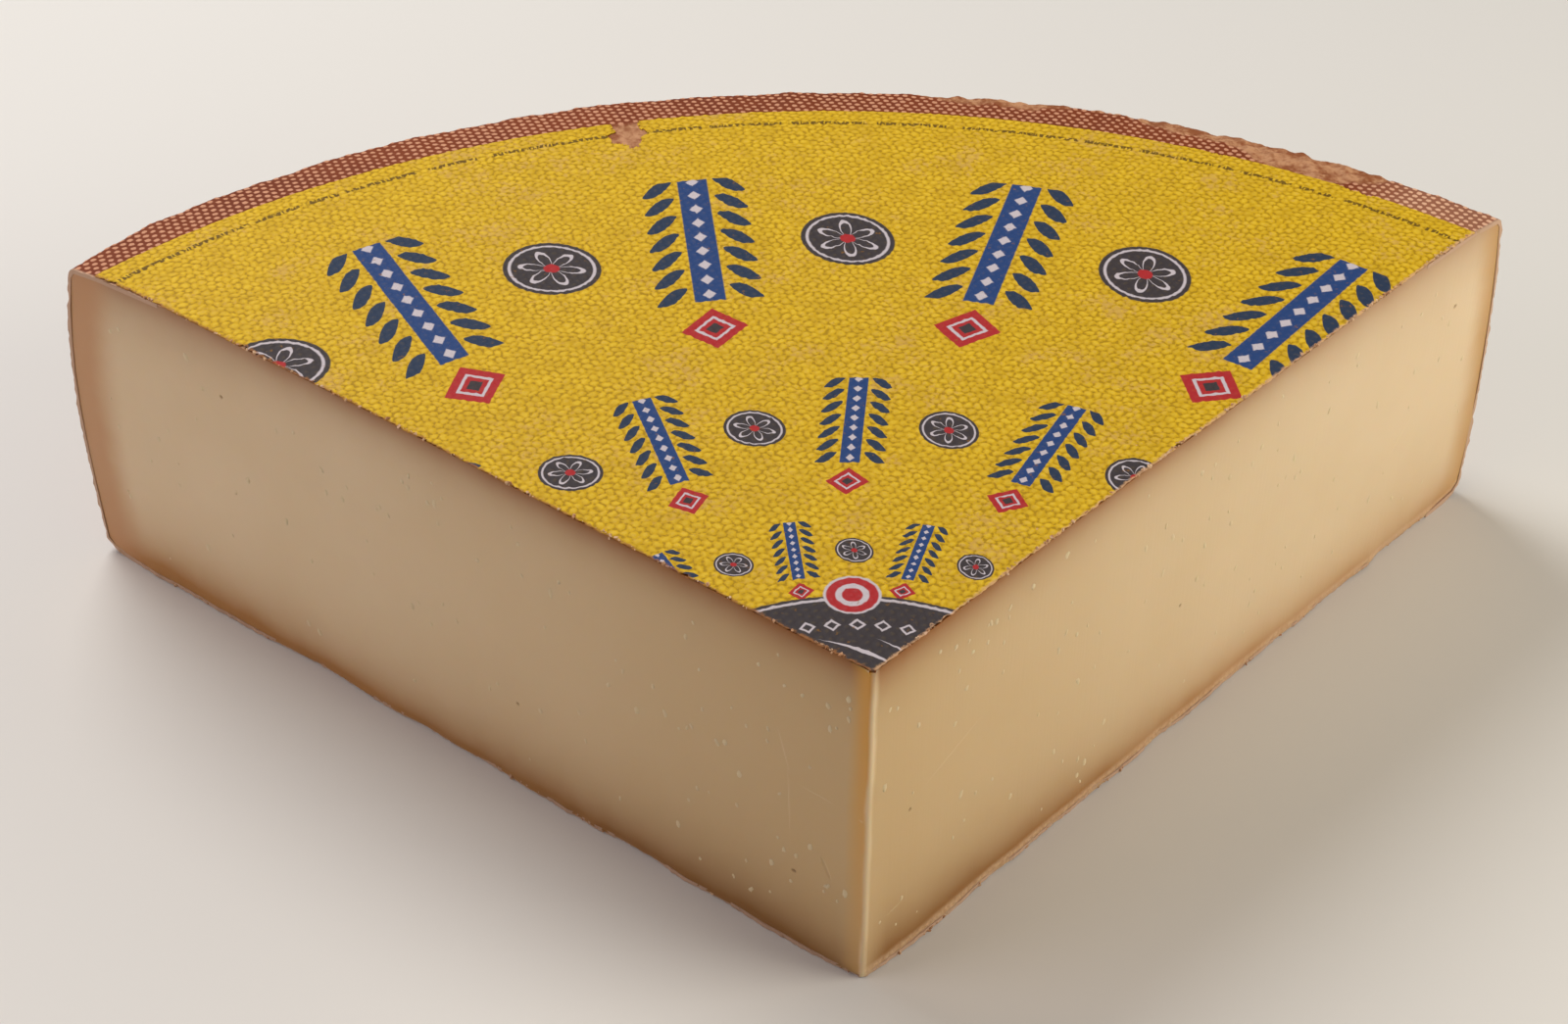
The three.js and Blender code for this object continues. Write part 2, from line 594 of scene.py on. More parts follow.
@dataclass(frozen=True)
class Weave:
    """The print of the cloth that the cheese was pressed in: close rows of small domes.

    Attributes:
        pitch: Distance between neighbouring domes, from the photograph.
        turn: Direction of one row of domes, in degrees from +X.
        sway: How far the rows wander.
        jitter: How far single domes lie out of their row.
        unlike: How much its strength differs over some 20 mm, and from dome to dome.
        weakest: Its least strength.
        strongest: Its greatest.
    """

    pitch: float = 2.69
    turn: float = 45.0
    sway: float = 0.55
    jitter: float = 0.5
    unlike: tuple[float, float] = (0.22, 0.5)
    weakest: float = 0.2
    strongest: float = 1.6

    def waves(self) -> list[tuple[float, float]]:
        """The three waves that make the domes: each one's direction, as radians of wave for each mm.

        Returns:
            An x and a y part for each wave.
        """
        tempo = 2 * math.pi / (self.pitch * math.cos(math.radians(30)))
        angles = [math.radians(self.turn + side) for side in (-30, 30, 90)]
        return [(tempo * math.cos(angle), tempo * math.sin(angle)) for angle in angles]

    def domes(self, x: Array, y: Array) -> Array:
        """Height of the domes from 0 to 1, on rows that don't wander."""
        total = sum(np.cos(x * east + y * north) for east, north in self.waves())
        return (total + 1.5) / 4.5

    def wander(self, x: Array, y: Array) -> tuple[Array, Array]:
        """How far each place of the cloth is shifted.

        Args:
            x: The x of each place.
            y: The y of each place.

        Returns:
            The shifts in x and in y.
        """
        east = self.sway * (np.sin(y / 23 + 0.7) + 0.6 * np.sin(x / 13 + y / 19))
        north = self.sway * (np.sin(x / 27 + 1.9) + 0.6 * np.sin(y / 11 - x / 21))
        east += self.jitter * np.sin(y / 1.31 + 2 * np.sin(x / 5.1)) * np.sin(x / 2.3 + y / 7)
        north += self.jitter * np.sin(x / 1.43 + 2 * np.sin(y / 4.7)) * np.sin(y / 2.1 - x / 6)
        return east, north

    def uneven(self, x: Array, y: Array) -> Array:
        """How strongly the cloth is printed at each place, about 1.

        Args:
            x: The x of each place.
            y: The y of each place.

        Returns:
            The strength.
        """
        slow = np.sin(x / 19 + 2 * np.sin(y / 31)) * np.sin(y / 23 - 1.3)
        quick = np.sin(x / 1.3 + 1.7 * np.sin(y / 2.9)) * np.sin(y / 1.1 + 1.6 * np.sin(x / 2.3))
        broad, close = self.unlike
        return np.clip(1 + broad * slow + close * quick, self.weakest, self.strongest)


def ripple(places: Array, lengths: tuple[float, ...], seed: float) -> Array:
    """A smooth uneven line about 0, as a sum of waves of the given lengths, each as high as the others.

    Args:
        places: Where along the line.
        lengths: Each wave's length.
        seed: Shifts the waves.

    Returns:
        The line's height, within 1 of 0.
    """
    total = np.zeros_like(places)
    for step, length in enumerate(lengths):
        total += np.sin(2 * math.pi * places / length + seed * (step + 1.7))
    return total / len(lengths)


# Pieces


@dataclass
class Paste:
    """The cheese inside its rind: its section is spun between the two cuts, then the cuts get their marks.

    Attributes:
        wheel: The shape that it follows.
        marks: What the cuts show besides the paste.
        columns: Cells of its section from the point to the heel.
        rows: The same from the underside to the top.
        steps: Steps of its spin.
        inset: How far inside the rind it ends.
        start: Radius of the spun section's inner end, so that the spin leaves no pole.
        sunk: How far its top lies under the wheel's at the cuts, and how much deeper inside.
        sunk_within: Over what share of the half angle it sinks to that depth.
        finer: Cuts that divide each edge near a mark.
        margin: How far past a mark's ends and sides the mesh is finer.
        foot_wave: How uneven the foot of a cut is besides its line.
        foot_fade: Height over which that fades.
        lip: Height of the raised lip round a mark, for each unit of its depth.
        sharp: Edges sharper than this, in degrees, stay sharp.
    """

    wheel: Wheel
    marks: tuple[Mark, ...]
    columns: int = 284
    rows: int = 104
    steps: int = 22
    inset: float = 0.8
    start: float = 0.1
    sunk: tuple[float, float] = (0.1, 0.7)
    sunk_within: float = 0.09
    finer: int = 2
    margin: tuple[float, float] = (2.4, 1.6)
    foot_wave: float = 0.22
    foot_fade: float = 4.0
    lip: float = 0.16
    sharp: float = 35.0

    def build(self) -> Piece:
        """Makes the paste.

        Returns:
            The piece, without its material.
        """
        piece = grid("paste", self.columns, self.rows)
        flat = points(piece) * MM
        sweep(piece, flat[:, 0] + 0.5 + self.start, flat[:, 1], self.wheel.half_angle, self.steps)
        move_points(piece, self.placed(points(piece) * MM))
        self.refine(piece)
        self.work(piece)
        face_out(piece)
        smooth(piece, self.sharp)
        return piece

    def placed(self, spun: Array) -> Array:
        """Takes the plain spun block to the wedge's own shape.

        Args:
            spun: The block's vertices, where distance, angle and height say which part of the wedge each is.

        Returns:
            The places in millimetres.
        """
        wheel = self.wheel
        share = np.clip(np.hypot(spun[:, 0], spun[:, 1]) - self.start, 0, 1)
        angle = np.arctan2(spun[:, 0], spun[:, 1])
        level = spun[:, 2] + 0.5
        low, high = wheel.heel_heights[0], wheel.heel_heights[-1]
        nominal = low + (high - low) * level
        radius = wheel.heel_radius(nominal) * share
        at_cuts, inside = self.sunk
        from_cut = (1 - np.abs(angle) / wheel.half_angle) / self.sunk_within
        sunk = at_cuts + inside * np.clip(from_cut, 0, 1)
        height = wheel.under(radius) + self.inset
        height += (wheel.top(radius) - sunk - height) * level
        first = wheel.heel_radius(nominal) - self.inset
        distance = wheel.reach(angle, first)
        x, y = wheel.from_point(angle, distance)
        turn = wheel.round_axis(x, y)[1]
        distance = wheel.reach(angle, first + wheel.heel_offset(turn, nominal))
        tangent = wheel.point_round / math.tan(wheel.half_angle)
        distance = tangent + (distance - tangent) * share
        x, y = wheel.from_point(angle, distance)
        side = angle / wheel.half_angle
        nose = share < 1e-5
        bow = (math.pi / 2 - wheel.half_angle) * side
        back = wheel.point_round / math.sin(wheel.half_angle)
        x = np.where(nose, wheel.point[0] + wheel.point_round * np.sin(bow), x)
        y = np.where(nose, wheel.point[1] + back - wheel.point_round * np.cos(bow), y)
        return np.column_stack([x, y, height])

    def on_cut(self, places: Array, cut: Cut) -> Array:
        """A truth value for each vertex: whether it lies on a cut face."""
        return np.abs(self.wheel.outside(places[:, 0], places[:, 1], cut.value)) < 0.02

    def refine(self, piece: Piece) -> None:
        """Gives the faces round each mark a finer mesh.

        Args:
            piece: The piece.
        """
        for cut in Cut:
            places = points(piece)
            near = np.zeros(len(places), dtype=bool)
            along = self.wheel.along(places[:, 0], places[:, 1], cut.value)
            for mark in (m for m in self.marks if m.cut is cut):
                ahead, beside = self.across(mark, along, places[:, 2])
                within = np.abs(ahead) < mark.length / 2 + self.margin[0]
                near |= within & (np.abs(beside) < mark.width / 2 + self.margin[1])
            select_points(piece, near & self.on_cut(places, cut))
            with editing(piece, "FACE"):
                bpy.ops.mesh.subdivide(number_cuts=self.finer)
                bpy.ops.mesh.select_all(action="DESELECT")

    def across(self, mark: Mark, along: Array, height: Array) -> tuple[Array, Array]:
        """Place of each vertex in a mark's own directions: along it and across it.

        Args:
            mark: The mark.
            along: Distance from the point, along the cut.
            height: Height over the floor.

        Returns:
            The distances from its middle, along it and across it.
        """
        cos, sin = math.cos(math.radians(mark.turn)), math.sin(math.radians(mark.turn))
        east, north = along - mark.along, height - mark.height
        return east * cos + north * sin, north * cos - east * sin

    def work(self, piece: Piece) -> None:
        """Works the knife's waves and the marks into the cuts, and keeps what the colour needs.

        Args:
            piece: The piece.
        """
        places = points(piece)
        wheel = self.wheel
        hollow = np.zeros(len(places))
        scrape = np.zeros(len(places))
        for cut in Cut:
            normal = wheel.cut_normal(cut.value)
            along = wheel.along(places[:, 0], places[:, 1], cut.value)
            face = self.on_cut(places, cut)
            height = places[:, 2]
            push = wheel.knife(cut.value, along, height)
            uneven = self.foot_wave * ripple(along + 3 * height, (33, 21, 13), cut.value)
            push += (uneven + wheel.foot_line(cut.value, along)) * np.exp(-height / self.foot_fade)
            for mark in (m for m in self.marks if m.cut is cut):
                ahead, beside = self.across(mark, along, height)
                away = np.hypot(ahead * 2 / mark.length, beside * 2 / mark.width)
                bowl = np.clip(1 - away**2, 0, 1) ** 0.6
                lip = np.exp(-(((away - 1.15) / 0.3) ** 2)) * self.lip
                push -= mark.depth * (bowl - lip)
                if mark.kind is MarkKind.EYE:
                    hollow = np.maximum(hollow, np.where(face, bowl, 0))
                else:
                    scrape = np.maximum(scrape, np.where(face, np.clip(1.2 - away, 0, 1), 0))
            places[:, 0] += np.where(face, push * normal[0], 0)
            places[:, 1] += np.where(face, push * normal[1], 0)
        reach, turn = wheel.round_axis(places[:, 0], places[:, 1])
        heel = wheel.heel_radius(places[:, 2]) + wheel.heel_offset(turn, places[:, 2])
        store(piece, "to_heel", heel - reach)
        store(piece, "to_top", wheel.top(reach) - places[:, 2])
        store(piece, "to_foot", places[:, 2] - wheel.under(reach))
        move_points(piece, places)
        store(piece, "hollow", hollow)
        store(piece, "scrape", scrape)


@dataclass
class Rind:
    """The rind round the heel: a thin shell with the cloth's print, folded over the top and the foot.

    Attributes:
        wheel: The shape that it follows.
        weave: The cloth's print.
        turns: Steps of its spin.
        cuts: Cuts that divide each of them.
        band_start: Radius at which it begins on the top, hidden by the label.
        hidden_step: Distance of its rings there.
        band_seen: Radius from which it shows.
        band_step: Distance of its rings there.
        heel_step: The same down the heel.
        foot_end: Radius at which it ends under the foot.
        wall: Its thickness.
        relief: How high the domes stand.
        proud: How far its cut ends stand out of the cuts.
        start: Radius of the spun strip.
        sharp: Edges sharper than this, in degrees, stay sharp.
        label_rim: Inside this radius nothing stands up, because the label lies there.
        dried_from: Angle in degrees past which the rind has dried pale.
        dents: Depth of its dents on the heel, what the top adds to it, and what the bare edge adds.
        rough: How rough the smears are.
        floor_gap: The least height of its outer side.
        smears: Where the print is rubbed off: middle and half width in degrees, and reach inwards.
    """

    wheel: Wheel
    weave: Weave
    turns: int = 31
    cuts: int = 19
    band_start: float = 266.0
    hidden_step: float = 2.5
    band_seen: float = 290.0
    band_step: float = 0.62
    heel_step: float = 1.165
    foot_end: float = 292.0
    wall: float = 1.3
    relief: float = 0.3
    proud: float = 0.12
    start: float = 1.0
    sharp: float = 50.0
    label_rim: float = 291.5
    dried_from: float = 35.5
    dents: tuple[float, float, float] = (0.36, -0.27, 0.13)
    rough: float = 0.42
    floor_gap: float = 0.05
    smears: tuple[tuple[float, float, float], ...] = (
        (14.0, 4.6, 6.5), (26.0, 4.5, 7.0), (32.4, 4.9, 15.5), (20.2, 1.0, 2.5),
    )

    def profile(self) -> tuple[Array, Array]:
        """The rind's outer line from the top, over the edge, down the heel and under the foot.

        Returns:
            Radius and height of each step.
        """
        wheel = self.wheel
        bend = wheel.top_edge - wheel.edge_round / 2
        hidden = np.arange(self.band_start, self.band_seen - 0.5, self.hidden_step)
        band = np.concatenate([hidden, np.arange(self.band_seen, bend, self.band_step)])
        edge = np.linspace(bend, bend + wheel.edge_round, 5)
        low, high = wheel.heel_heights[0], wheel.heel_heights[-1]
        heel = np.arange(high - self.heel_step, low, -self.heel_step)
        foot = wheel.heel_radii[0] - wheel.foot_width * np.array([0, 0.06, 0.16, 0.3, 0.5, 0.8, 1.2])
        foot = np.append(foot, self.foot_end)
        radius = np.concatenate([band, edge, wheel.heel_radius(heel), foot])
        height = np.concatenate([wheel.top(band), wheel.top(edge), heel, wheel.under(foot)])
        return radius, height

    def build(self) -> Piece:
        """Makes the rind.

        Returns:
            The piece, without its material.
        """
        radius, height = self.profile()
        count = len(radius) - 1
        piece = grid("rind", count, 1)
        flat = points(piece) * MM
        step = np.rint((flat[:, 0] + 0.5) * count).astype(int)
        step = np.where(flat[:, 1] < 0, self.inner_steps(radius)[step], step)
        sweep(piece, step / count + self.start, flat[:, 1], self.wheel.half_angle, self.turns)
        self.split_turns(piece)
        spun = points(piece) * MM
        row = np.rint((np.hypot(spun[:, 0], spun[:, 1]) - self.start) * count).astype(int)
        angle = np.arctan2(spun[:, 0], spun[:, 1])
        inner = spun[:, 2] < 0
        self.place(piece, radius, height, row, angle, inner)
        face_out(piece)
        smooth(piece, self.sharp)
        return piece

    def inner_steps(self, radius: Array) -> Array:
        """Which of a few steps the inner wall uses at each step of the outer line.

        Args:
            radius: Radius of each step of the outer line.

        Returns:
            The inner wall's step for each.
        """
        last = len(radius) - 1
        edge = int(np.argmax(radius >= self.wheel.top_edge - self.wheel.edge_round / 2))
        heel = np.linspace(edge + 4, last - 7, 9).astype(int)
        kept = np.array([0, edge // 2, edge, *heel, last - 4, last])
        steps = np.arange(last + 1)
        return kept[np.abs(steps[:, None] - kept[None, :]).argmin(axis=1)]

    def split_turns(self, piece: Piece) -> None:
        """Divides each turn of the spin into fine columns.

        Args:
            piece: The spun strip.
        """
        mesh = piece.data
        places = points(piece) * MM
        angle = np.arctan2(places[:, 0], places[:, 1])[read(mesh.edges, "vertices", int, 2)]
        select_points(piece, np.zeros(len(places), dtype=bool))
        mesh.edges.foreach_set("select", np.abs(angle[:, 0] - angle[:, 1]) > 1e-3)
        with editing(piece, "EDGE"):
            bpy.ops.mesh.subdivide(number_cuts=self.cuts)
            bpy.ops.mesh.select_all(action="DESELECT")

    def place(
        self, piece: Piece, radius: Array, height: Array, row: Array, angle: Array, inner: Array
    ) -> None:
        """Takes the spun strip to the rind's own shape and works the cloth's print in.

        Args:
            piece: The spun strip.
            radius: Radius of each step of the outer line.
            height: Height of each step.
            row: The step that each vertex belongs to.
            angle: Direction of each vertex from the point.
            inner: Whether it is on the inner wall.
        """
        wheel = self.wheel
        line = np.stack([radius, height], axis=1)
        slope = np.gradient(line, axis=0)
        normal = np.stack([-slope[:, 1], slope[:, 0]], axis=1)
        normal /= np.linalg.norm(normal, axis=1, keepdims=True)
        x, y = wheel.from_point(angle, wheel.reach(angle, radius[row]))
        turn = wheel.round_axis(x, y)[1]
        offset = wheel.heel_offset(turn, height[row]) * wheel.past_shoulder(radius[row])
        x, y = wheel.from_point(angle, wheel.reach(angle, radius[row] + offset))
        reach, turn = wheel.round_axis(x, y)
        on_top = np.clip((wheel.top_edge + 1.5 - radius[row]) / 3, 0, 1) * (height[row] > 90)
        arc = turn * wheel.top_edge
        domes = self.weave.domes(arc, height[row])
        domes = domes + (self.weave.domes(x, y) - domes) * on_top
        strength = self.weave.uneven(arc, height[row] + 400 * on_top)
        rubbed = self.rubbed(np.degrees(turn), radius[row], height[row])
        calm = 1 - 0.8 * (np.abs(angle) > wheel.half_angle - 0.003)
        lift = self.relief * (domes - 0.2) * strength * (1 - 0.85 * rubbed) * calm - 0.1 * rubbed
        dents = ripple(arc + height[row], (29, 17, 7.3), 1.0)
        dents += ripple(height[row] - 0.3 * arc, (41, 19, 9.1, 6.1), 2.0)
        bare = on_top * np.clip((radius[row] - 292) / 5, 0, 1)
        bare *= np.clip((wheel.half_angle - np.abs(angle)) / 0.06, 0, 1)
        on_heel, more_on_top, more_if_bare = self.dents
        lift += (on_heel + more_on_top * on_top + more_if_bare * bare) * dents
        # Where the print is rubbed off, the rind is rough, but never stands up under the label
        rough = ripple(arc + 0.7 * radius[row], (19, 11, 6.3), 0.7)
        rough += ripple(arc - 1.3 * radius[row] + height[row], (15.1, 8.3, 4.9), 1.9)
        rough = np.where(radius[row] < self.label_rim, -0.5 * np.abs(rough), rough)
        lift += self.rough * rubbed * rough * calm
        lift = np.where(inner, -self.wall, lift)
        grown = 1 + lift * normal[row, 0] / reach
        x = wheel.axis[0] + (x - wheel.axis[0]) * grown
        y = wheel.axis[1] + (y - wheel.axis[1]) * grown
        z = height[row] + lift * normal[row, 1]
        z = np.where(inner, z, np.maximum(z, self.floor_gap))
        ends = np.abs(np.abs(angle) - wheel.half_angle) < 1e-4
        for cut in Cut:
            end = ends & (np.sign(angle) == cut.value)
            way = wheel.cut_normal(cut.value)
            path = height[row] + 0.7 * radius[row]
            ragged = self.proud + 0.3 * ripple(path, (19, 7.1, 4.3, 2.9), 2.0 * cut.value)
            push = np.where(end, ragged + wheel.knife(cut.value, wheel.along(x, y, cut.value), z), 0)
            x += push * way[0]
            y += push * way[1]
        move_points(piece, np.stack([x, y, z], axis=1))
        store(piece, "weave", np.clip(domes * (0.6 + 0.4 * strength), 0, 1))
        store(piece, "rubbed", rubbed)
        store(piece, "dry", np.clip((np.degrees(turn) - self.dried_from) / 3.5, 0, 1) * on_top)
        store(piece, "edge", ends.astype(float))

    def rubbed(self, turn: Array, radius: Array, height: Array) -> Array:
        """How far the cloth's print is rubbed away, from 0 to 1: smooth smears along the top edge.

        Args:
            turn: Angle round the axis, in degrees.
            radius: Distance from the axis.
            height: Height over the floor.

        Returns:
            0 where the print is whole, up to 1.
        """
        wave = 1.3 * ripple(turn, (3.1, 1.7, 0.9), 3.0) + 0.8 * ripple(turn * 5 + radius, (3.7, 2.3), 1.0)
        total = np.zeros_like(turn)
        for middle, half, inward in self.smears:
            along = np.clip(1.6 - np.abs(turn - middle) / half * 1.6, 0, 1)
            edge = self.wheel.top_edge - inward * np.sqrt(along) + wave
            total = np.maximum(total, np.clip((radius - edge) / 1.8, 0, 1) * (along > 0))
        bay = np.clip((290.2 - radius) / 0.8, 0, 0.85)
        return np.maximum(total, bay) * np.clip((height - 95 + 2 * wave) / 9, 0, 1)


@dataclass
class Sheet:
    """A thin sheet over the whole wedge with the cloth's print: the label or the rind underneath.

    Attributes:
        wheel: The shape that it follows.
        weave: The cloth's print.
        name: The piece's name.
        divisions: Steps of its mesh between two neighbouring domes.
        radius: Where its rim lies.
        wall: Its thickness.
        relief: How high the domes stand.
        under: Whether it lies under the cheese.
        ragged: How uneven its cut edges are.
        blunt: How far behind the meeting of the cuts its worn point ends.
        held: Within this distance of its edges it doesn't wander.
        sharp: Edges sharper than this, in degrees, stay sharp.
        tears: Pieces torn out of the rim, as the angle in degrees and steps along the rim and in from it.
    """

    wheel: Wheel
    weave: Weave
    name: str
    divisions: int
    radius: float
    wall: float
    relief: float
    under: bool = False
    ragged: float = 0.25
    blunt: float = 0.8
    held: float = 6.0
    sharp: float = 62.0
    tears: tuple[tuple[float, tuple[tuple[float, float], ...]], ...] = ()

    def build(self) -> Piece:
        """Makes the sheet.

        Returns:
            The piece, without its material.
        """
        piece = self.lattice()
        self.trim(piece)
        self.shape(piece)
        self.thicken(piece)
        face_out(piece)
        smooth(piece, self.sharp)
        return piece

    def lattice(self) -> Piece:
        """A slanted grid whose vertices fall on the domes and between them, large enough for the wedge.

        Returns:
            The grid.
        """
        step = self.weave.pitch / self.divisions
        angles = (math.radians(self.weave.turn), math.radians(self.weave.turn + 60))
        basis = step * np.array([[math.cos(a), math.sin(a)] for a in angles])
        x, y = self.wheel.point
        reach = self.radius
        corners = np.array([[x - 222, y - 3], [x + 222, y - 3], [x - 222, y + reach], [x + 222, y + reach]])
        inside = corners @ np.linalg.inv(basis)
        low = np.floor(inside.min(axis=0)).astype(int)
        count = np.ceil(inside.max(axis=0)).astype(int) - low
        piece = grid(self.name, int(count[0]), int(count[1]))
        unit = points(piece)[:, :2] * MM + 0.5
        flat = (unit * count + low) @ basis
        move_points(piece, np.column_stack([flat, np.zeros(len(flat))]))
        return piece

    def trim(self, piece: Piece) -> None:
        """Cuts the grid along both knife cuts and at the worn point, and takes away what is past the rim.

        Args:
            piece: The grid.
        """
        wheel = self.wheel
        planes = []
        for cut in Cut:
            way = wheel.cut_normal(cut.value)
            planes.append((wheel.point, (way[0], way[1], 0)))
        planes.append(((wheel.point[0], wheel.point[1] + self.blunt), (0, -1, 0)))
        with editing(piece, "VERT"):
            for spot, way in planes:
                bpy.ops.mesh.select_all(action="SELECT")
                bpy.ops.mesh.bisect(
                    plane_co=(spot[0] * MM, spot[1] * MM, 0), plane_no=way, clear_outer=True, threshold=1e-5
                )
        places = points(piece)
        reach, turn = wheel.round_axis(places[:, 0], places[:, 1])
        gone = reach > self.rim(turn)
        for at, outline in self.tears:
            gone |= self.torn(reach, turn, at, outline)
        select_points(piece, gone)
        with editing(piece, "FACE"):
            bpy.ops.mesh.delete(type="FACE")
        with editing(piece, "VERT"):
            bpy.ops.mesh.select_all(action="SELECT")
            bpy.ops.mesh.quads_convert_to_tris(quad_method="SHORTEST_DIAGONAL")
            bpy.ops.mesh.select_all(action="DESELECT")
        places = points(piece)
        reach, turn = wheel.round_axis(places[:, 0], places[:, 1])
        limit = self.rim(turn)
        over = reach > limit
        scale = np.where(over, limit / reach, 1)
        places[:, 0] = wheel.axis[0] + (places[:, 0] - wheel.axis[0]) * scale
        places[:, 1] = wheel.axis[1] + (places[:, 1] - wheel.axis[1]) * scale
        move_points(piece, places)

    def rim(self, turn: Array) -> Array:
        """Radius of the sheet's rim at an angle round the axis."""
        return self.radius + 0.25 * ripple(turn * self.radius, (37, 23, 9, 5.3, 3.1), 1.0)

    def torn(
        self, reach: Array, turn: Array, at: float, outline: tuple[tuple[float, float], ...]
    ) -> Array:
        """Which places lie inside a tear's outline.

        Args:
            reach: Distance of each place from the axis.
            turn: Angle round the axis, in radians.
            at: The tear's angle in degrees.
            outline: Its edge, as steps along the rim and in from it.

        Returns:
            A truth value for each place.
        """
        along = (turn - math.radians(at)) * self.radius
        inwards = self.radius - reach
        along = along + 0.5 * np.sin(inwards * 2.1 + along)
        inside = np.zeros(len(reach), dtype=bool)
        for (x0, y0), (x1, y1) in zip(outline, outline[1:] + outline[:1]):
            crosses = (y0 > inwards) != (y1 > inwards)
            span = y1 - y0 if y1 != y0 else 1e-9
            inside ^= crosses & (along < x0 + (x1 - x0) * (inwards - y0) / span)
        return inside

    def shape(self, piece: Piece) -> None:
        """Lays the sheet on the cheese, prints the cloth in it and makes its cut edges uneven.

        Args:
            piece: The piece.
        """
        wheel = self.wheel
        places = points(piece)
        x, y = places[:, 0], places[:, 1]
        store(piece, "cloth", places)
        domes = self.weave.domes(x, y)
        strength = self.weave.uneven(x, y)
        edge = self.boundary(piece)
        east, north = self.weave.wander(x, y)
        near = np.full(len(x), 1e9)
        shift_x, shift_y = np.zeros(len(x)), np.zeros(len(x))
        for cut in Cut:
            away = -wheel.outside(x, y, cut.value)
            near = np.minimum(near, away)
            along = wheel.along(x, y, cut.value)
            way = wheel.cut_normal(cut.value)
            follow = wheel.knife(cut.value, along, np.zeros(len(x)) if self.under else wheel.height)
            if self.under:
                follow += wheel.foot_line(cut.value, along)
            push = follow * np.exp(-np.maximum(away, 0) / 5)
            on_edge = edge & (away < 0.05)
            push += np.where(on_edge, self.fray(along, cut), 0)
            shift_x += push * way[0]
            shift_y += push * way[1]
        reach, turn = wheel.round_axis(x, y)
        still = np.clip(np.minimum(near, self.radius - reach) / self.held, 0, 1)
        x = x + east * still + shift_x
        y = y + north * still + shift_y
        reach, turn = wheel.round_axis(x, y)
        lift = self.relief * (domes - 0.4) * strength
        lift = np.where(edge, lift * 0.4 - 0.04, lift)
        if self.under:
            wave = 0.5 + 0.5 * ripple(x + y, (61, 37, 26), 0.4)
            z = wheel.under(reach) - lift + 0.5 * wave * np.exp(-np.maximum(near, 0) / 4)
        else:
            z = wheel.top(reach) + self.wall + lift
            z += 0.1 * ripple(x - y, (53, 31, 19), 0.8) * (1 - wheel.past_shoulder(reach))
        move_points(piece, np.column_stack([x, y, z]))
        store(piece, "weave", np.clip(domes * strength, 0, 1))
        store(piece, "edge", np.exp(-np.maximum(near, 0) / 1.2))

    def fray(self, along: Array, cut: Cut) -> Array:
        """How far the cut edge stands out or in at each place along it, with a few deeper notches.

        Args:
            along: Distance from the point, along the cut.
            cut: The cut.

        Returns:
            The distance outwards.
        """
        notch = np.clip(ripple(along, (53, 31, 17, 4.7), 2.2 + cut.value) - 0.4, 0, 1)
        line = ripple(along, (23, 11, 5.3, 3.7, 2.1), 1.3 * cut.value)
        depth = 0 if self.under else 9
        return self.ragged * (line - depth * notch) - 0.05

    def boundary(self, piece: Piece) -> Array:
        """Finds out for each vertex whether it is on the sheet's edge.

        Args:
            piece: The piece.

        Returns:
            The truth values.
        """
        mesh = piece.data
        open_edge = np.bincount(read(mesh.loops, "edge_index", int), minlength=len(mesh.edges)) == 1
        found = np.zeros(len(mesh.vertices), dtype=bool)
        found[read(mesh.edges, "vertices", int, 2)[open_edge]] = True
        return found

    def thicken(self, piece: Piece) -> None:
        """Folds the sheet's edge over to its other side and closes that side.

        Args:
            piece: The piece.
        """
        way = 1 if self.under else -1
        with editing(piece, "EDGE"):
            bpy.ops.mesh.select_all(action="DESELECT")
            others = ("use_wire", "use_multi_face", "use_non_contiguous", "use_verts")
            bpy.ops.mesh.select_non_manifold(extend=False, use_boundary=True, **dict.fromkeys(others, False))
            bpy.ops.mesh.extrude_region_move(TRANSFORM_OT_translate={"value": (0, 0, way * self.wall * MM)})
            bpy.ops.mesh.fill_holes(sides=0)
            bpy.ops.mesh.select_all(action="DESELECT")


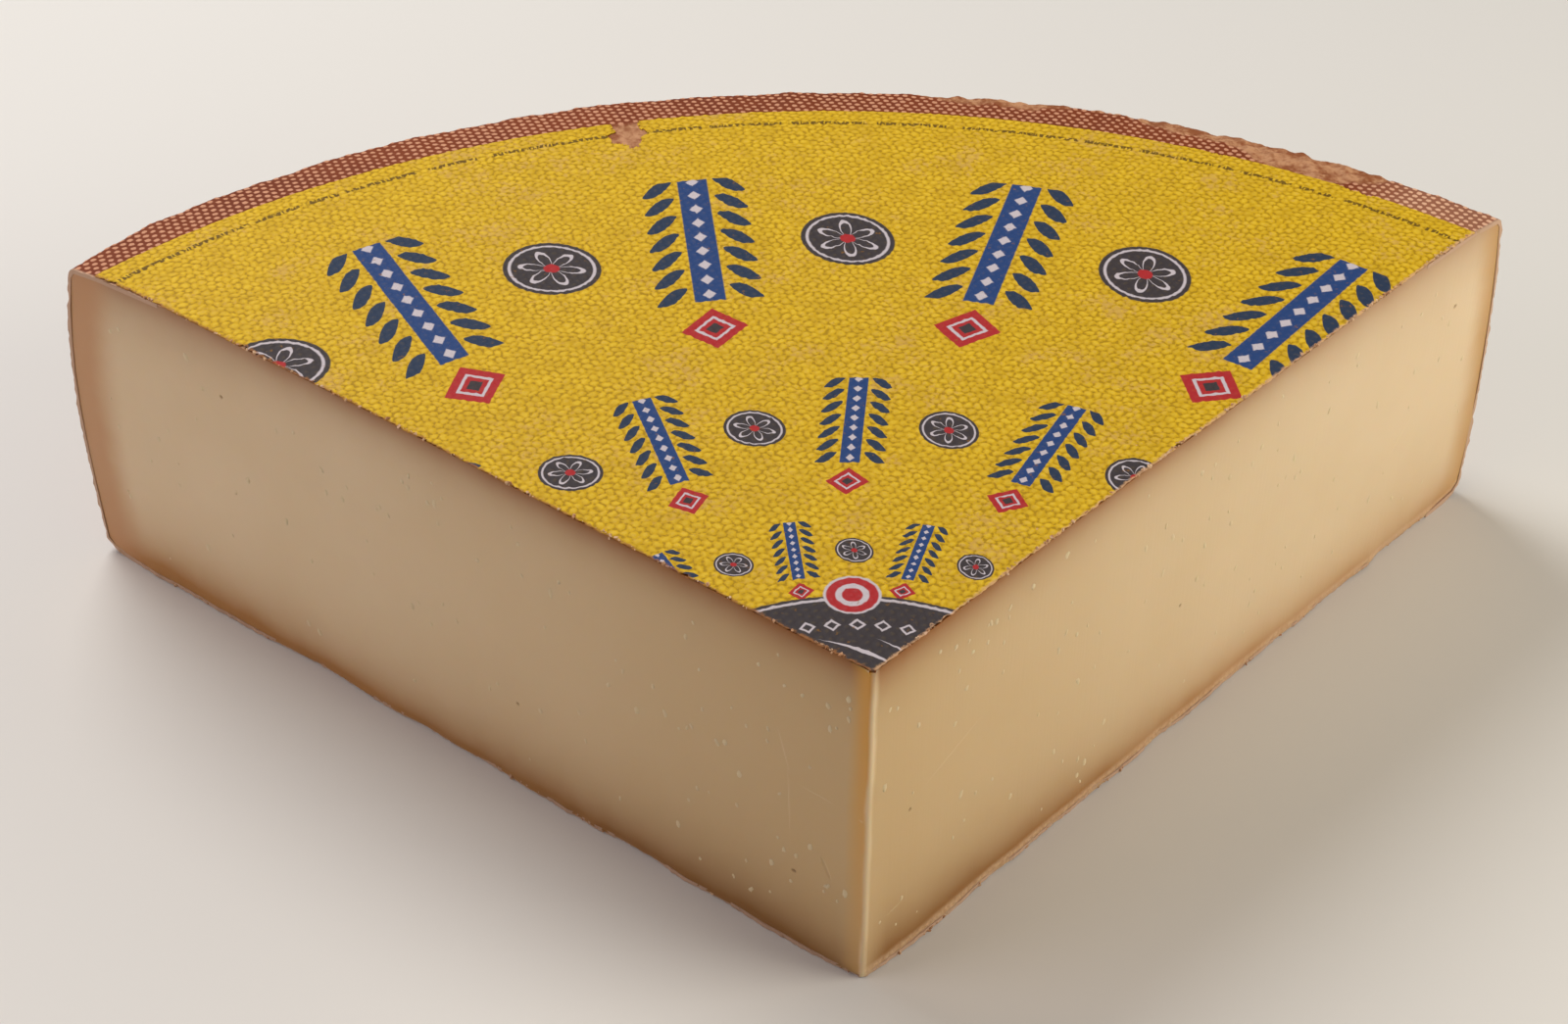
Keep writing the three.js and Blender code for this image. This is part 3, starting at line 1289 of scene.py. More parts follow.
@dataclass
class Crystals:
    """The small pale grains that ripening leaves in the paste, cut through by the knife.

    Attributes:
        wheel: The shape whose cuts they lie on.
        per_cut: How many there are on each cut.
        seed: Starts the random draws.
        start: Distance of the first from the point.
        span: How far along the cut the last lies from the first.
        lowest: Least height over the floor.
        rise: How far above that the highest lies.
        least: Least width of a grain.
        more: How much wider and taller the largest are.
        flat: Thickness out of the cut, as a share of a round grain's.
        sunk: How far the middle lies behind the cut.
        sharp: Edges sharper than this, in degrees, stay sharp.
    """

    wheel: Wheel
    per_cut: int = 120
    seed: int = 7
    start: float = 6.0
    span: float = 270.0
    lowest: float = 7.0
    rise: float = 92.0
    least: float = 1.0
    more: float = 0.9
    flat: float = 0.38
    sunk: float = 0.06
    sharp: float = 60.0

    def build(self) -> Piece:
        """Makes all grains as one piece.

        Returns:
            The piece, without its material.
        """
        deselect()
        bpy.ops.mesh.primitive_uv_sphere_add(segments=8, ring_count=5, radius=0.5 * MM)
        pattern = newest("crystal")
        ball = points(pattern)
        draw = np.random.default_rng(self.seed)
        grains = [self.grain(ball, cut.value, draw) for cut in Cut for _ in range(self.per_cut)]
        return scatter(pattern, grains, "crystals", self.sharp)

    def grain(self, ball: Array, side: float, draw: np.random.Generator) -> Array:
        """Shapes one grain, flattened in the plane of its cut.

        Args:
            ball: The vertices of a small ball.
            side: The cut that the grain is on.
            draw: The source of its size and place.

        Returns:
            The grain's vertices.
        """
        along = self.start + self.span * draw.random() ** 1.25
        height = self.lowest + self.rise * draw.random()
        size = self.least + self.more * draw.random() ** 2
        tall = size * (1.0 + self.more * draw.random())
        lean = draw.normal(0, 0.25)
        wobble = 1 + 0.15 * draw.standard_normal(len(ball))
        ahead = ball[:, 0] * size * wobble
        rise = ball[:, 2] * tall * wobble
        cos, sin = math.cos(lean), math.sin(lean)
        ahead, rise = ahead * cos - rise * sin, ahead * sin + rise * cos
        out = ball[:, 1] * self.flat - self.sunk + self.wheel.knife(side, np.array(along), np.array(height))
        x, y = self.wheel.beside(side, along + ahead, out)
        return np.column_stack([x, y, height + rise])


@dataclass
class Crumbs:
    """Small bits that the knife pulled out along the edges of the cuts.

    Attributes:
        wheel: The shape whose cuts they lie on.
        along_top: How many there are along the top edges.
        along_foot: How many there are along the foot.
        seed: Starts the random draws.
        on_right: Share of them that lie on the right cut.
        start: Distance of the first from the point.
        span: How far along the cut the last lies from the first.
        least: Least width of a crumb.
        more: How much wider the largest are.
        sharp: Edges sharper than this, in degrees, stay sharp.
    """

    wheel: Wheel
    along_top: int = 330
    along_foot: int = 260
    seed: int = 11
    on_right: float = 0.6
    start: float = 4.0
    span: float = 264.0
    least: float = 0.35
    more: float = 0.65
    sharp: float = 40.0

    def build(self) -> Piece:
        """Makes all crumbs as one piece.

        Returns:
            The piece, without its material.
        """
        deselect()
        bpy.ops.mesh.primitive_ico_sphere_add(subdivisions=1, radius=0.5 * MM)
        pattern = newest("crumb")
        ball = points(pattern)
        draw = np.random.default_rng(self.seed)
        places = [True] * self.along_top + [False] * self.along_foot
        return scatter(pattern, [self.crumb(ball, top, draw) for top in places], "crumbs", self.sharp)

    def crumb(self, ball: Array, top: bool, draw: np.random.Generator) -> Array:
        """Shapes one crumb on an edge of a cut.

        Args:
            ball: The vertices of a small rough ball.
            top: Whether it lies on the top edge, or else on the foot.
            draw: The source of its size and place.

        Returns:
            The crumb's vertices.
        """
        wheel = self.wheel
        side = 1 if draw.random() < self.on_right else -1
        along = self.start + self.span * draw.random()
        if top:
            along += 4 * math.sin(along / 5.3)
        size = (self.least + self.more * draw.random() ** 2) * (1.0 if top else 0.9)
        stretch = 0.6 + 0.9 * draw.random(3)
        out = draw.normal(-0.25, 0.25)
        radius = wheel.round_axis(*wheel.beside(side, along, 0))[0]
        z = wheel.top(radius) + 0.3 + draw.normal(0, 0.12) if top else 0.6 + 0.5 * draw.random()
        out += wheel.knife(side, np.array(along), z)
        if not top:
            out += wheel.foot_line(side, along)
        shape = ball * size * stretch * (1 + 0.25 * draw.standard_normal((len(ball), 1)))
        return shape + np.array([*wheel.beside(side, along, out), z])


# Finishes


@dataclass(frozen=True)
class PasteFinish:
    """Hard cheese paste, pressed and ripened: dense, waxy and slightly see-through, so light softens."""

    body: str = "#dfc7a2"
    deep: str = "#d3b88f"
    # darker near the wheel's axis, towards the point
    darker_near_axis: str = "#c6a573"
    foot: str = "#824e08"
    foot_far: str = "#a0620a"  # the same towards the heel
    # painted light on the foot's rim of the right cut
    painted_light_foot_rim: str = "#cba680"
    heel: str = "#ba8658"
    heel_right: str = "#b98a4c"
    # painted shade under the label's edge
    painted_shade_under_label: str = "#8a4c08"
    # painted glow and painted highlight along the worn point
    painted_glow_at_point: str = "#d69c40"
    painted_highlight_at_point: str = "#f6e0b8"
    # darker in the small holes: partly their own colour, partly painted shade
    eye: str = "#7d5c34"
    # paler in scrapes and scratches: partly fresh paste, partly painted highlight
    scrape: str = "#e2cda6"

    def make(self, wheel: Wheel) -> bpy.types.Material:
        """Makes the material.

        Args:
            wheel: The shape whose point the paste dries at.

        Returns:
            The material.
        """
        net = Wiring("ripened_cheese_paste")
        add = net.add
        mm = net.millimetres()
        parts = add("SeparateXYZ", mm).node.outputs
        flat = add("CombineXYZ", parts["X"], parts["Y"], 0.0)
        from_axis, from_point = (
            add("VectorMath.DISTANCE", flat, (*spot, 0), out="Value") for spot in (wheel.axis, wheel.point)
        )
        to_heel, to_top, to_foot, hollow, scrape = (
            add("Attribute", attribute_name=name, out="Fac")
            for name in ("to_heel", "to_top", "to_foot", "hollow", "scrape")
        )
        aside = add("Math.SUBTRACT", parts["X"], wheel.point[0])
        on_right = add("MapRange", aside, -1.0, 1.0)
        cloud = add("TexNoise", mm, None, 0.022, 3.0, 0.55)
        # Darker towards the wheel's axis, near the point
        darker_near_axis = add("MapRange", from_axis, 190.0, 40.0, 0.0, 0.8)
        waver = add("Math.SUBTRACT", add("TexNoise", mm, None, 0.06, 2.0, 0.5), 0.5)
        # Darker towards the heel, the label and the foot, as deep as in the photograph; the darkening under
        # the label is painted shade from its overhang
        heel = add("Math.ADD", to_heel, add("MapRange", on_right, 0.0, 1.0, -4.0, 2.0))
        heel = add("Math.MULTIPLY_ADD", waver, 5.0, heel)
        heel = add("MapRange", heel, 17.0, 3.0, 0.0, 0.85, **SOFT)
        label = add("Math.MULTIPLY_ADD", waver, 3.0, to_top)
        label = add("Math.DIVIDE", label, add("MapRange", from_axis, 200.0, 280.0, -6.0, -9.0))
        # The painted shade under the label is weaker on the right cut, which is lit
        less = add("Math.MULTIPLY", add("MapRange", from_axis, 80.0, 280.0, 0.02, 0.3), on_right)
        strength = add("MapRange", from_axis, 60.0, 220.0, 1.28, 1.02)
        strength = add("Math.MULTIPLY", strength, add("Math.SUBTRACT", 1.0, less))
        label = add("Math.MULTIPLY", add("Math.EXPONENT", label), strength)
        bend = add("Math.MULTIPLY_ADD", label, -0.2, 1.0)
        label = add("Math.MULTIPLY", label, bend, use_clamp=True)
        foot = add("Math.MULTIPLY_ADD", waver, 5.0, to_foot)
        foot = add("Math.DIVIDE", foot, add("MapRange", from_axis, 60.0, 200.0, -12.0, -9.2))
        # On the left the foot is darkest by the heel, on the right towards the point
        left = add("MapRange", from_axis, 180.0, 270.0, 1.12, 1.4)
        left = add("Math.MULTIPLY", left, add("MapRange", from_point, 10.0, 40.0, 0.8, 1.0))
        right = add("MapRange", from_axis, 90.0, 140.0, 1.32, 1.12)
        right = add("Math.MULTIPLY", right, add("MapRange", from_axis, 180.0, 270.0, 1.0, 0.8))
        strength = add("MapRange", from_point, 1.0, 9.0, 0.4, 1.0)
        strength = add("Math.MULTIPLY", strength, add("Mix", on_right, None, left, right))
        foot = add("Math.MULTIPLY", add("Math.EXPONENT", foot), strength)
        foot = add("Math.MINIMUM", foot, 0.85)
        foot_tone = add("MixRGB", add("MapRange", from_axis, 60.0, 200.0), self.foot, self.foot_far)
        speck = add("Math.MULTIPLY", add("TexNoise", mm, None, 0.9, 2.0, 0.6), 1.5)
        # Painted light: a pale rim at the foot of the right cut only, where the light reaches it; on the
        # left cut it stays in shade
        painted_light_foot_rim = add("Math.MULTIPLY", add("MapRange", to_foot, 4.6, 2.6, 0.0, 0.9, **SOFT), on_right)
        painted_light_foot_rim = add("Math.MULTIPLY", painted_light_foot_rim, speck, use_clamp=True)
        # The worn edge of the point: a painted ochre glow, standing for light through the thin edge, that
        # ends before the foot, and a painted highlight of the rounded edge beside it
        line = add("Math.MULTIPLY_ADD", waver, 1.6, aside)
        line = add("Math.SUBTRACT", line, add("MapRange", parts["Z"], 40.0, 90.0, 0.0, 0.6))
        near_point = add("MapRange", from_point, 6.0, 8.0, 1.0, 0.0)
        stripes = []
        for rise, fall, upwards in (
            ((-6.0, -1.6, 0.0, 0.74), (-1.1, -0.1, 1.0, 0.0), (8.0, 84.0, 0.35, 1.1)),
            ((-1.3, -0.3, 0.0, 0.52), (0.1, 1.5, 1.0, 0.0), (107.0, 97.0, 0.6, 1.0)),
        ):
            stripe = add("Math.MULTIPLY", near_point, add("MapRange", parts["Z"], *upwards))
            for limits in (rise, fall):
                stripe = add("Math.MULTIPLY", stripe, add("MapRange", line, *limits, **SOFT))
            stripes.append(stripe)
        painted_glow, rim = stripes
        heel_tone = add("MixRGB", on_right, self.heel, self.heel_right)
        colour = net.paint(self.deep, (
            (cloud, self.body),
            (darker_near_axis, self.darker_near_axis),
            (label, self.painted_shade_under_label),
            (foot, foot_tone),
            (heel, heel_tone),
            (painted_light_foot_rim, self.painted_light_foot_rim),
            (painted_glow, self.painted_glow_at_point),
            (rim, self.painted_highlight_at_point),
            # Paler scrapes and scratches: partly the fresh paste's own colour, partly painted highlight
            # along the marks
            (add("Math.MULTIPLY", scrape, 0.4), self.scrape),
            # Darker brown in the small holes: partly their own colour, partly painted shade in the hollow
            (add("Math.MULTIPLY", hollow, 0.75), self.eye),
        ))
        # Knife drag: very fine lines down the cut, and a slight grain of 0.8 mm
        drag = add("VectorMath.MULTIPLY", mm, (1.1, 1.1, 0.05))
        drag = add("TexNoise", drag, None, 1.0, 2.0, 0.5)
        rough = add("Math.MULTIPLY_ADD", add("TexNoise", mm, None, 1.2, 3.0, 0.6), 0.5, drag)
        return net.finish({
            "Base Color": colour,
            "Normal": add("Bump", 0.14, 0.0002, None, rough),
            "Roughness": 0.46,
            "IOR": 1.45,
            "Specular IOR Level": 0.35,
            "Subsurface Weight": 0.35,
            "Subsurface Radius": (1.0, 0.55, 0.25),
            "Subsurface Scale": 0.004,
        })


@dataclass(frozen=True)
class RindFinish:
    """Washed rind: a thin dry skin, red-brown between the cloth's domes and pale on them."""

    low: str = "#7f3a1a"
    dome: str = "#cd9270"
    smear: str = "#8f5330"
    dark: str = "#6c2e16"
    bloom: str = "#c28e66"
    dried: str = "#e0b08e"
    cut_end: str = "#bd9b80"

    def make(self) -> bpy.types.Material:
        """Makes the material.

        Returns:
            The material.
        """
        net = Wiring("washed_cheese_rind")
        add = net.add
        mm = net.millimetres()
        weave, rubbed, dry, edge = (
            add("Attribute", attribute_name=name, out="Fac") for name in ("weave", "rubbed", "dry", "edge")
        )
        slow = add("TexNoise", mm, None, 0.035, 3.0, 0.6)
        quick = add("TexNoise", mm, None, 0.5, 3.0, 0.6)
        patch = add("MapRange", slow, 0.42, 0.66, 0.0, 0.6)
        dots = add("MapRange", add("Math.MULTIPLY_ADD", quick, 0.5, weave), 0.55, 0.82, **SOFT)
        # By the right cut the rind has dried paler, its domes most
        dry = add("Math.MULTIPLY", dry, add("Math.MULTIPLY_ADD", dots, 0.72, 0.2))
        # Smears are blotched over 5 to 15 mm, with a finer mottle on top
        blotch = add("TexNoise", mm, None, 0.11, 2.0, 0.5)
        bloom = add("MapRange", add("Math.MULTIPLY_ADD", quick, 0.8, blotch), 0.8, 1.06)
        smear = add("MixRGB", bloom, self.smear, self.bloom)
        colour = net.paint(self.low, (
            (patch, self.dark),
            (dots, self.dome),
            (dry, self.dried),
            (rubbed, smear),
            (edge, self.cut_end),
        ))
        fine = add("TexNoise", mm, None, 2.4, 4.0, 0.65)
        return net.finish({
            "Base Color": colour,
            "Normal": add("Bump", 0.4, 0.0003, None, fine),
            "Roughness": 0.62,
            "Specular IOR Level": 0.15,
        })


@dataclass(frozen=True)
class LabelFinish:
    """Casein label, printed in flat inks and pressed into the rind with the cloth: matt.

    The print is a plain repeating ornament: rings of upright bars with leaf rows, lozenges and round
    medallions, each ring 0.6 times the size of the one outside it.
    """

    field: str = "#d4a914"
    # dome, low and gap: painted highlight on the domes and painted shade between them
    dome: str = "#e3bd30"
    low: str = "#b58c10"
    gap: str = "#80600c"
    worn: str = "#c79c5c"
    spot: str = "#94641c"
    charcoal: str = "#3e3738"
    navy: str = "#2b384e"
    blue: str = "#274274"
    red: str = "#ac2a2c"
    pale: str = "#c6bbbe"
    stroke: str = "#5a4214"
    fringe_left: str = "#9a6434"
    fringe_right: str = "#d2a47a"
    ring_radius: float = 272.0  # outer edge of the outermost ring
    shrink: float = 0.6
    cells_per_turn: int = 16
    swing: float = math.radians(1.5)  # turns the whole print round the axis
    disc_radius: float = 61.4
    line_radius: float = 283.0  # of the fine line round the rim

    def make(self, wheel: Wheel, weave: Weave) -> bpy.types.Material:
        """Makes the material.

        Args:
            wheel: Its axis is the middle of the print.
            weave: The print of the cloth.

        Returns:
            The material.
        """
        net = Wiring("printed_casein_label")
        add = net.add
        mm = net.millimetres()
        domes = self.cloth(net, weave)
        edge = add("Attribute", attribute_name="edge", out="Fac")
        quick = add("TexNoise", mm, None, 0.7, 3.0, 0.6)
        slow = add("TexNoise", mm, None, 0.05, 5.0, 0.7)
        worn = add("MapRange", add("Math.MULTIPLY_ADD", quick, 0.7, slow), 0.92, 1.06, 0.0, 0.5)
        # Ink is a little thinner on the tops of the domes
        cover = add("MapRange", add("Math.MULTIPLY_ADD", quick, 0.6, domes), 0.8, 1.4, 1.0, 0.96)
        printed = [(add("Math.MULTIPLY", share, cover), ink) for share, ink in self.inks(net, wheel, mm)]
        speck = add("MapRange", add("TexNoise", mm, None, 0.55, 2.0, 0.5), 0.68, 0.76, 0.0, 0.5)
        # The knife lifts the label's edge: pale fibres on the right cut, browner on the left
        fringe = add("MapRange", add("Math.MULTIPLY", quick, edge), 0.24, 0.46, 0.0, 0.85)
        parts = add("SeparateXYZ", mm).node.outputs
        on_right = add("MapRange", parts["X"], wheel.point[0] - 1, wheel.point[0] + 1)
        fibre = add("MixRGB", on_right, self.fringe_left, self.fringe_right)
        layers = [(worn, self.worn), *printed, (speck, self.spot), (fringe, fibre)]
        height = add("Math.MULTIPLY_ADD", domes, 0.3, add("TexNoise", mm, None, 2.2, 4.0, 0.65))
        return net.finish({
            "Base Color": net.paint(self.paper(net, mm, domes, quick), layers),
            "Normal": add("Bump", 0.4, 0.0002, None, height),
            "Roughness": 0.6,
            "Specular IOR Level": 0.14,
        })

    def cloth(self, net: Wiring, weave: Weave) -> Socket:
        """The cloth's domes from 0 to 1, finer than the mesh can hold them.

        Args:
            net: The material's wiring.
            weave: The print of the cloth.

        Returns:
            The domes.
        """
        place = net.add("Attribute", attribute_name="cloth", out="Vector")
        uneven = net.add("TexNoise", place, None, 0.42, 2.0, 0.5, out="Color")
        shift = net.add("VectorMath.MULTIPLY_ADD", uneven, (1.6, 1.6, 0.0), (-0.8, -0.8, 0.0))
        place = net.add("VectorMath.ADD", place, shift)
        total = 0.0
        for way in weave.waves():
            wave = net.add("VectorMath.DOT_PRODUCT", place, (*way, 0.0), out="Value")
            total = net.add("Math.ADD", total, net.add("Math.COSINE", wave))
        return net.add("MapRange", total, -1.5, 3.0)

    def paper(self, net: Wiring, mm: Socket, domes: Socket, quick: Socket) -> Socket:
        """The yellow field: a painted highlight on the domes, painted shade in ochre between them, uneven
        over a few domes.

        Args:
            net: The material's wiring.
            mm: The place in millimetres.
            domes: The print of the cloth.
            quick: Noise a little wider than a dome.

        Returns:
            The colour.
        """
        add = net.add
        level = add("Math.MULTIPLY_ADD", quick, 1.3, domes)
        # Painted highlight on the tops of the domes, tan in worn patches
        high = add("MapRange", level, 0.9, 1.4, 0.0, 0.8, **SOFT)
        tan = add("MapRange", add("TexNoise", mm, None, 0.5, 3.0, 0.65), 0.52, 0.74, 0.0, 0.55)
        # Broad shades where the cloth pressed harder, 5 to 20 mm wide
        shade = add("MapRange", add("TexNoise", mm, None, 0.13, 3.0, 0.7), 0.4, 0.68, 0.0, 0.45)
        # Painted shade low between the domes, or the broad darker tone where that is stronger
        low = add("Math.MAXIMUM", add("MapRange", level, 0.95, 0.6, 0.0, 0.7, **SOFT), shade)
        # Painted shade in the creases between the domes
        painted_crease_shade = add("MapRange", add("Math.MULTIPLY_ADD", quick, 0.8, domes), 0.56, 0.4, 0.0, 0.36)
        top = add("MixRGB", tan, self.dome, self.worn)
        return net.paint(self.field, ((high, top), (low, self.low), (painted_crease_shade, self.gap)))

    def inks(self, net: Wiring, wheel: Wheel, mm: Socket) -> list[tuple[Socket, str]]:
        """The printed ornament.

        Args:
            net: The material's wiring.
            wheel: Its axis is the middle of the print.
            mm: The place in millimetres.

        Returns:
            For each ink in turn, how much of it there is and its colour.
        """
        add = net.add

        def within(size: Socket, limit: float, soft: float = 0.35) -> Socket:
            """A mask that is 1 where a size is below a limit, with a soft edge."""
            return add("Math.MULTIPLY_ADD", size, -1 / soft, limit / soft + 0.5, use_clamp=True)

        def off(size: Socket, middle: float) -> Socket:
            """How far a size is from a middle, to either side."""
            return add("Math.ABSOLUTE", add("Math.SUBTRACT", size, middle))

        def off_beat(size: Socket, half: float) -> Socket:
            """How far a size is from the nearest one in an even row, whose step is twice half."""
            return add("Math.ABSOLUTE", add("Math.WRAP", size, half, -half))

        local = add("VectorMath.SUBTRACT", mm, (*wheel.axis, 0))
        parts = add("SeparateXYZ", local).node.outputs
        flat = add("CombineXYZ", parts["X"], parts["Y"], 0.0)
        radius = add("VectorMath.LENGTH", flat, out="Value")
        turn = add("Math.ADD", add("Math.ARCTAN2", parts["X"], parts["Y"]), self.swing)
        # Which ring a place is in, and where it would be if that ring were the outermost one
        ring = add("Math.DIVIDE", radius, self.ring_radius)
        ring = add("Math.FLOOR", add("Math.LOGARITHM", ring, self.shrink))
        grown = add("Math.DIVIDE", radius, add("Math.POWER", self.shrink, ring))
        half_cell = math.pi / self.cells_per_turn
        swung = add("Math.WRAP", add("Math.MULTIPLY_ADD", ring, half_cell, turn), half_cell, -half_cell)
        across = add("Math.MULTIPLY", swung, grown)
        # The bar with its pale lozenges and a row of leaves on each side
        off_bar = off(across, -17.0)
        span = within(off(grown, 222.0), 31.0)
        bar = add("Math.MULTIPLY", within(off_bar, 4.4), span)
        gem = add("Math.MULTIPLY_ADD", off_bar, 0.5, add("Math.MULTIPLY", off_beat(grown, 3.6), 0.42))
        gem = add("Math.MULTIPLY", within(gem, 0.95, 0.25), bar)
        belly = off(off_bar, 10.6)
        belly = add("Math.MULTIPLY", belly, belly)
        leaf = off_beat(add("Math.MULTIPLY_ADD", off_bar, 0.75, grown), 4.6)
        leaf = within(add("Math.MULTIPLY_ADD", belly, 0.13, leaf), 3.1)
        leaf = add("Math.MULTIPLY", add("Math.MULTIPLY", leaf, within(belly, 21.0, 2.0)), span)
        # The red lozenge at the inner end of the bar, with a pale line in it
        tip = add("Math.ADD", off(grown, 178.0), off_bar)
        # The medallion between two bars: a disc, a thin ring, a rosette of six petals and a red middle
        east = add("Math.SUBTRACT", across, 25.0)
        north = add("Math.SUBTRACT", grown, 219.0)
        away = add("VectorMath.LENGTH", add("CombineXYZ", east, north, 0.0), out="Value")
        petal = add("Math.MULTIPLY", add("Math.ARCTAN2", east, north), 3.0)
        petal = add("Math.ABSOLUTE", add("Math.COSINE", petal))
        petal = within(add("Math.ABSOLUTE", add("Math.MULTIPLY_ADD", petal, -8.6, away)), 0.7)
        # A fine broken line round the rim
        round_rim = add("Math.MULTIPLY", turn, self.line_radius)
        stroke = add("CombineXYZ", round_rim, add("Math.MULTIPLY", radius, 0.35), 0.0)
        stroke = add("MapRange", add("TexNoise", stroke, None, 1.05, 1.0, 0.5), 0.44, 0.5, 0.0, 0.9)
        run = add("TexNoise", add("CombineXYZ", round_rim, 0.0, 0.0), None, 0.16, 1.0, 0.5)
        broken = add("Math.MULTIPLY", stroke, add("MapRange", run, 0.4, 0.43))
        rim = add("Math.MULTIPLY", within(off(radius, self.line_radius), 0.9), broken)
        # The dark disc in the middle of the wheel: its edge, small lozenges, fronds and a red target
        disc_edge = within(off(radius, self.disc_radius - 1.4), 0.42)
        bead = add("Math.MULTIPLY", off_beat(turn, math.radians(3.5)), 50.0)
        bead = within(off(add("Math.ADD", bead, off(radius, 50.5)), 1.7), 0.4)
        frond = off_beat(add("Math.MULTIPLY_ADD", radius, 0.05, turn), math.radians(9))
        frond = add("Math.MULTIPLY", frond, 40.0)
        frond = within(add("Math.MULTIPLY_ADD", off(radius, 40.5), 0.3, frond), 1.5)
        target = add("VectorMath.DISTANCE", flat, (4.7, 61.4, 0), out="Value")
        rings = (
            (bar, self.blue),
            (gem, self.pale),
            (leaf, self.navy),
            (within(tip, 9.4), self.red),
            (within(off(tip, 5.2), 0.65), self.pale),
            (within(tip, 2.6), self.charcoal),
            (within(away, 13.4), self.charcoal),
            (add("Math.MAXIMUM", within(off(away, 11.6), 0.42), petal), self.pale),
            (within(away, 2.2), self.red),
        )
        middle = (
            (rim, self.stroke),
            (within(radius, self.disc_radius), self.charcoal),
            (add("Math.MAXIMUM", disc_edge, add("Math.MAXIMUM", bead, frond)), self.pale),
            (within(target, 7.2), self.pale),
            (within(target, 6.5), self.red),
            (within(off(target, 3.4), 0.8), self.pale),
        )
        ringed = add("Math.MULTIPLY", add("Math.LESS_THAN", ring, 2.5), add("Math.GREATER_THAN", ring, -0.5))
        return [(add("Math.MULTIPLY", share, ringed), ink) for share, ink in rings] + list(middle)


@dataclass(frozen=True)
class GrainFinish:
    """Ripening crystals: tiny pale, slightly waxy grains."""

    body: str = "#e0caa0"
    second: str = "#ccb288"

    def make(self) -> bpy.types.Material:
        """Makes the material.

        Returns:
            The material.
        """
        net = Wiring("ripening_crystals")
        tone = net.add("TexNoise", net.millimetres(), None, 0.3, 2.0, 0.5)
        return net.finish({
            "Base Color": net.paint(self.body, [(tone, self.second)]),
            "Roughness": 0.5,
            "Subsurface Weight": 0.3,
            "Subsurface Radius": (1.0, 0.6, 0.3),
            "Subsurface Scale": 0.001,
        })


@dataclass(frozen=True)
class CrumbFinish:
    """Crumbs of paste and rind, dry and matt."""

    pale: str = "#dcb890"
    brown: str = "#b07a50"

    def make(self) -> bpy.types.Material:
        """Makes the material.

        Returns:
            The material.
        """
        net = Wiring("cheese_crumbs")
        tone = net.add("TexNoise", net.millimetres(), None, 0.42, 2.0, 0.5)
        tone = net.add("MapRange", tone, 0.38, 0.62)
        return net.finish({"Base Color": net.paint(self.pale, [(tone, self.brown)]), "Roughness": 0.7})


# The studio


@dataclass
class Studio:
    """A plain pale floor, soft light and the camera at the photograph's viewing angle.

    Attributes:
        camera_place: Where the camera stands, in millimetres.
        camera_aim: The direction in which it looks.
        camera_roll: How far it is turned round that direction.
        lens: Its focal length, for a sensor 36 mm wide.
        floor_half: Half the floor's width, in metres.
        floor_colour: The floor's colour.
        floor_second: The colour that it fades to here and there.
        world_colour: Colour of the light from all round.
        world_strength: Strength of that light.
        lamps: Name, place in metres, width in metres, power in watts and tint of each lamp.
    """

    camera_place: tuple[float, float, float] = (-67.63, -675.507, 591.96)
    camera_aim: tuple[float, float, float] = (0.06981, 0.77511, -0.62796)
    camera_roll: float = math.radians(0.595)
    lens: float = 69.5
    floor_half: float = 6.0
    floor_colour: str = "#d9d5cd"
    floor_second: str = "#dedad3"
    world_colour: str = "#e9e9ec"
    world_strength: float = 0.22
    lamps: tuple[tuple[str, tuple[float, float, float], float, float, str], ...] = (
        ("right", (1.05, -0.3, 0.45), 0.8, 9.6, "#fcf6ea"),
        ("left", (-1.05, -0.2, 0.55), 0.8, 4.05, "#faecf2"),
        ("top", (-0.5, 0.8, 1.25), 0.9, 17.0, "#ffffff"),
    )

    def camera(self) -> None:
        """Makes the camera."""
        data = bpy.data.cameras.new("camera")
        data.lens = self.lens
        data.sensor_width = 36.0
        data.clip_start = 0.05
        made = bpy.data.objects.new("camera", data)
        bpy.context.collection.objects.link(made)
        aim = Vector(self.camera_aim).to_track_quat("-Z", "Y")
        made.rotation_mode = "QUATERNION"
        made.rotation_quaternion = aim @ Quaternion((0, 0, 1), self.camera_roll)
        made.location = Vector(self.camera_place) * MM
        bpy.context.scene.camera = made

    def floor(self) -> None:
        """Makes the floor."""
        deselect()
        bpy.ops.mesh.primitive_plane_add(size=2 * self.floor_half)
        made = newest("floor")
        net = Wiring("painted_studio_floor")
        tone = net.add("TexNoise", net.millimetres(), None, 0.0015, 2.0, 0.5)
        colour = net.paint(self.floor_colour, [(tone, self.floor_second)])
        made.data.materials.append(net.finish({"Base Color": colour, "Roughness": 0.75}))

    def lamp(
        self, name: str, place: tuple[float, float, float], size: float, power: float, tint: str
    ) -> None:
        """Makes one soft lamp that faces the cheese.

        Args:
            name: The lamp's name.
            place: Where it stands, in metres.
            size: Width of its soft box, in metres.
            power: Its power in watts.
            tint: Its colour.
        """
        data = bpy.data.lights.new(name, "AREA")
        data.shape = "DISK"
        data.size = size
        data.energy = power
        data.color = linear(tint)[:3]
        made = bpy.data.objects.new(name, data)
        bpy.context.collection.objects.link(made)
        made.location = place
        made.rotation_euler = (Vector((0, 0, 0.05)) - Vector(place)).to_track_quat("-Z", "Y").to_euler()

    def light(self) -> None:
        """Makes the lamps and the world."""
        for lamp in self.lamps:
            self.lamp(*lamp)
        world = bpy.data.worlds.new("studio")
        bpy.context.scene.world = world
        world.use_nodes = True
        back = world.node_tree.nodes["Background"]
        back.inputs["Color"].default_value = linear(self.world_colour)
        back.inputs["Strength"].default_value = self.world_strength
        bpy.context.scene.view_settings.view_transform = "Standard"

    def build(self) -> None:
        """Makes the whole studio."""
        self.camera()
        self.floor()
        self.light()


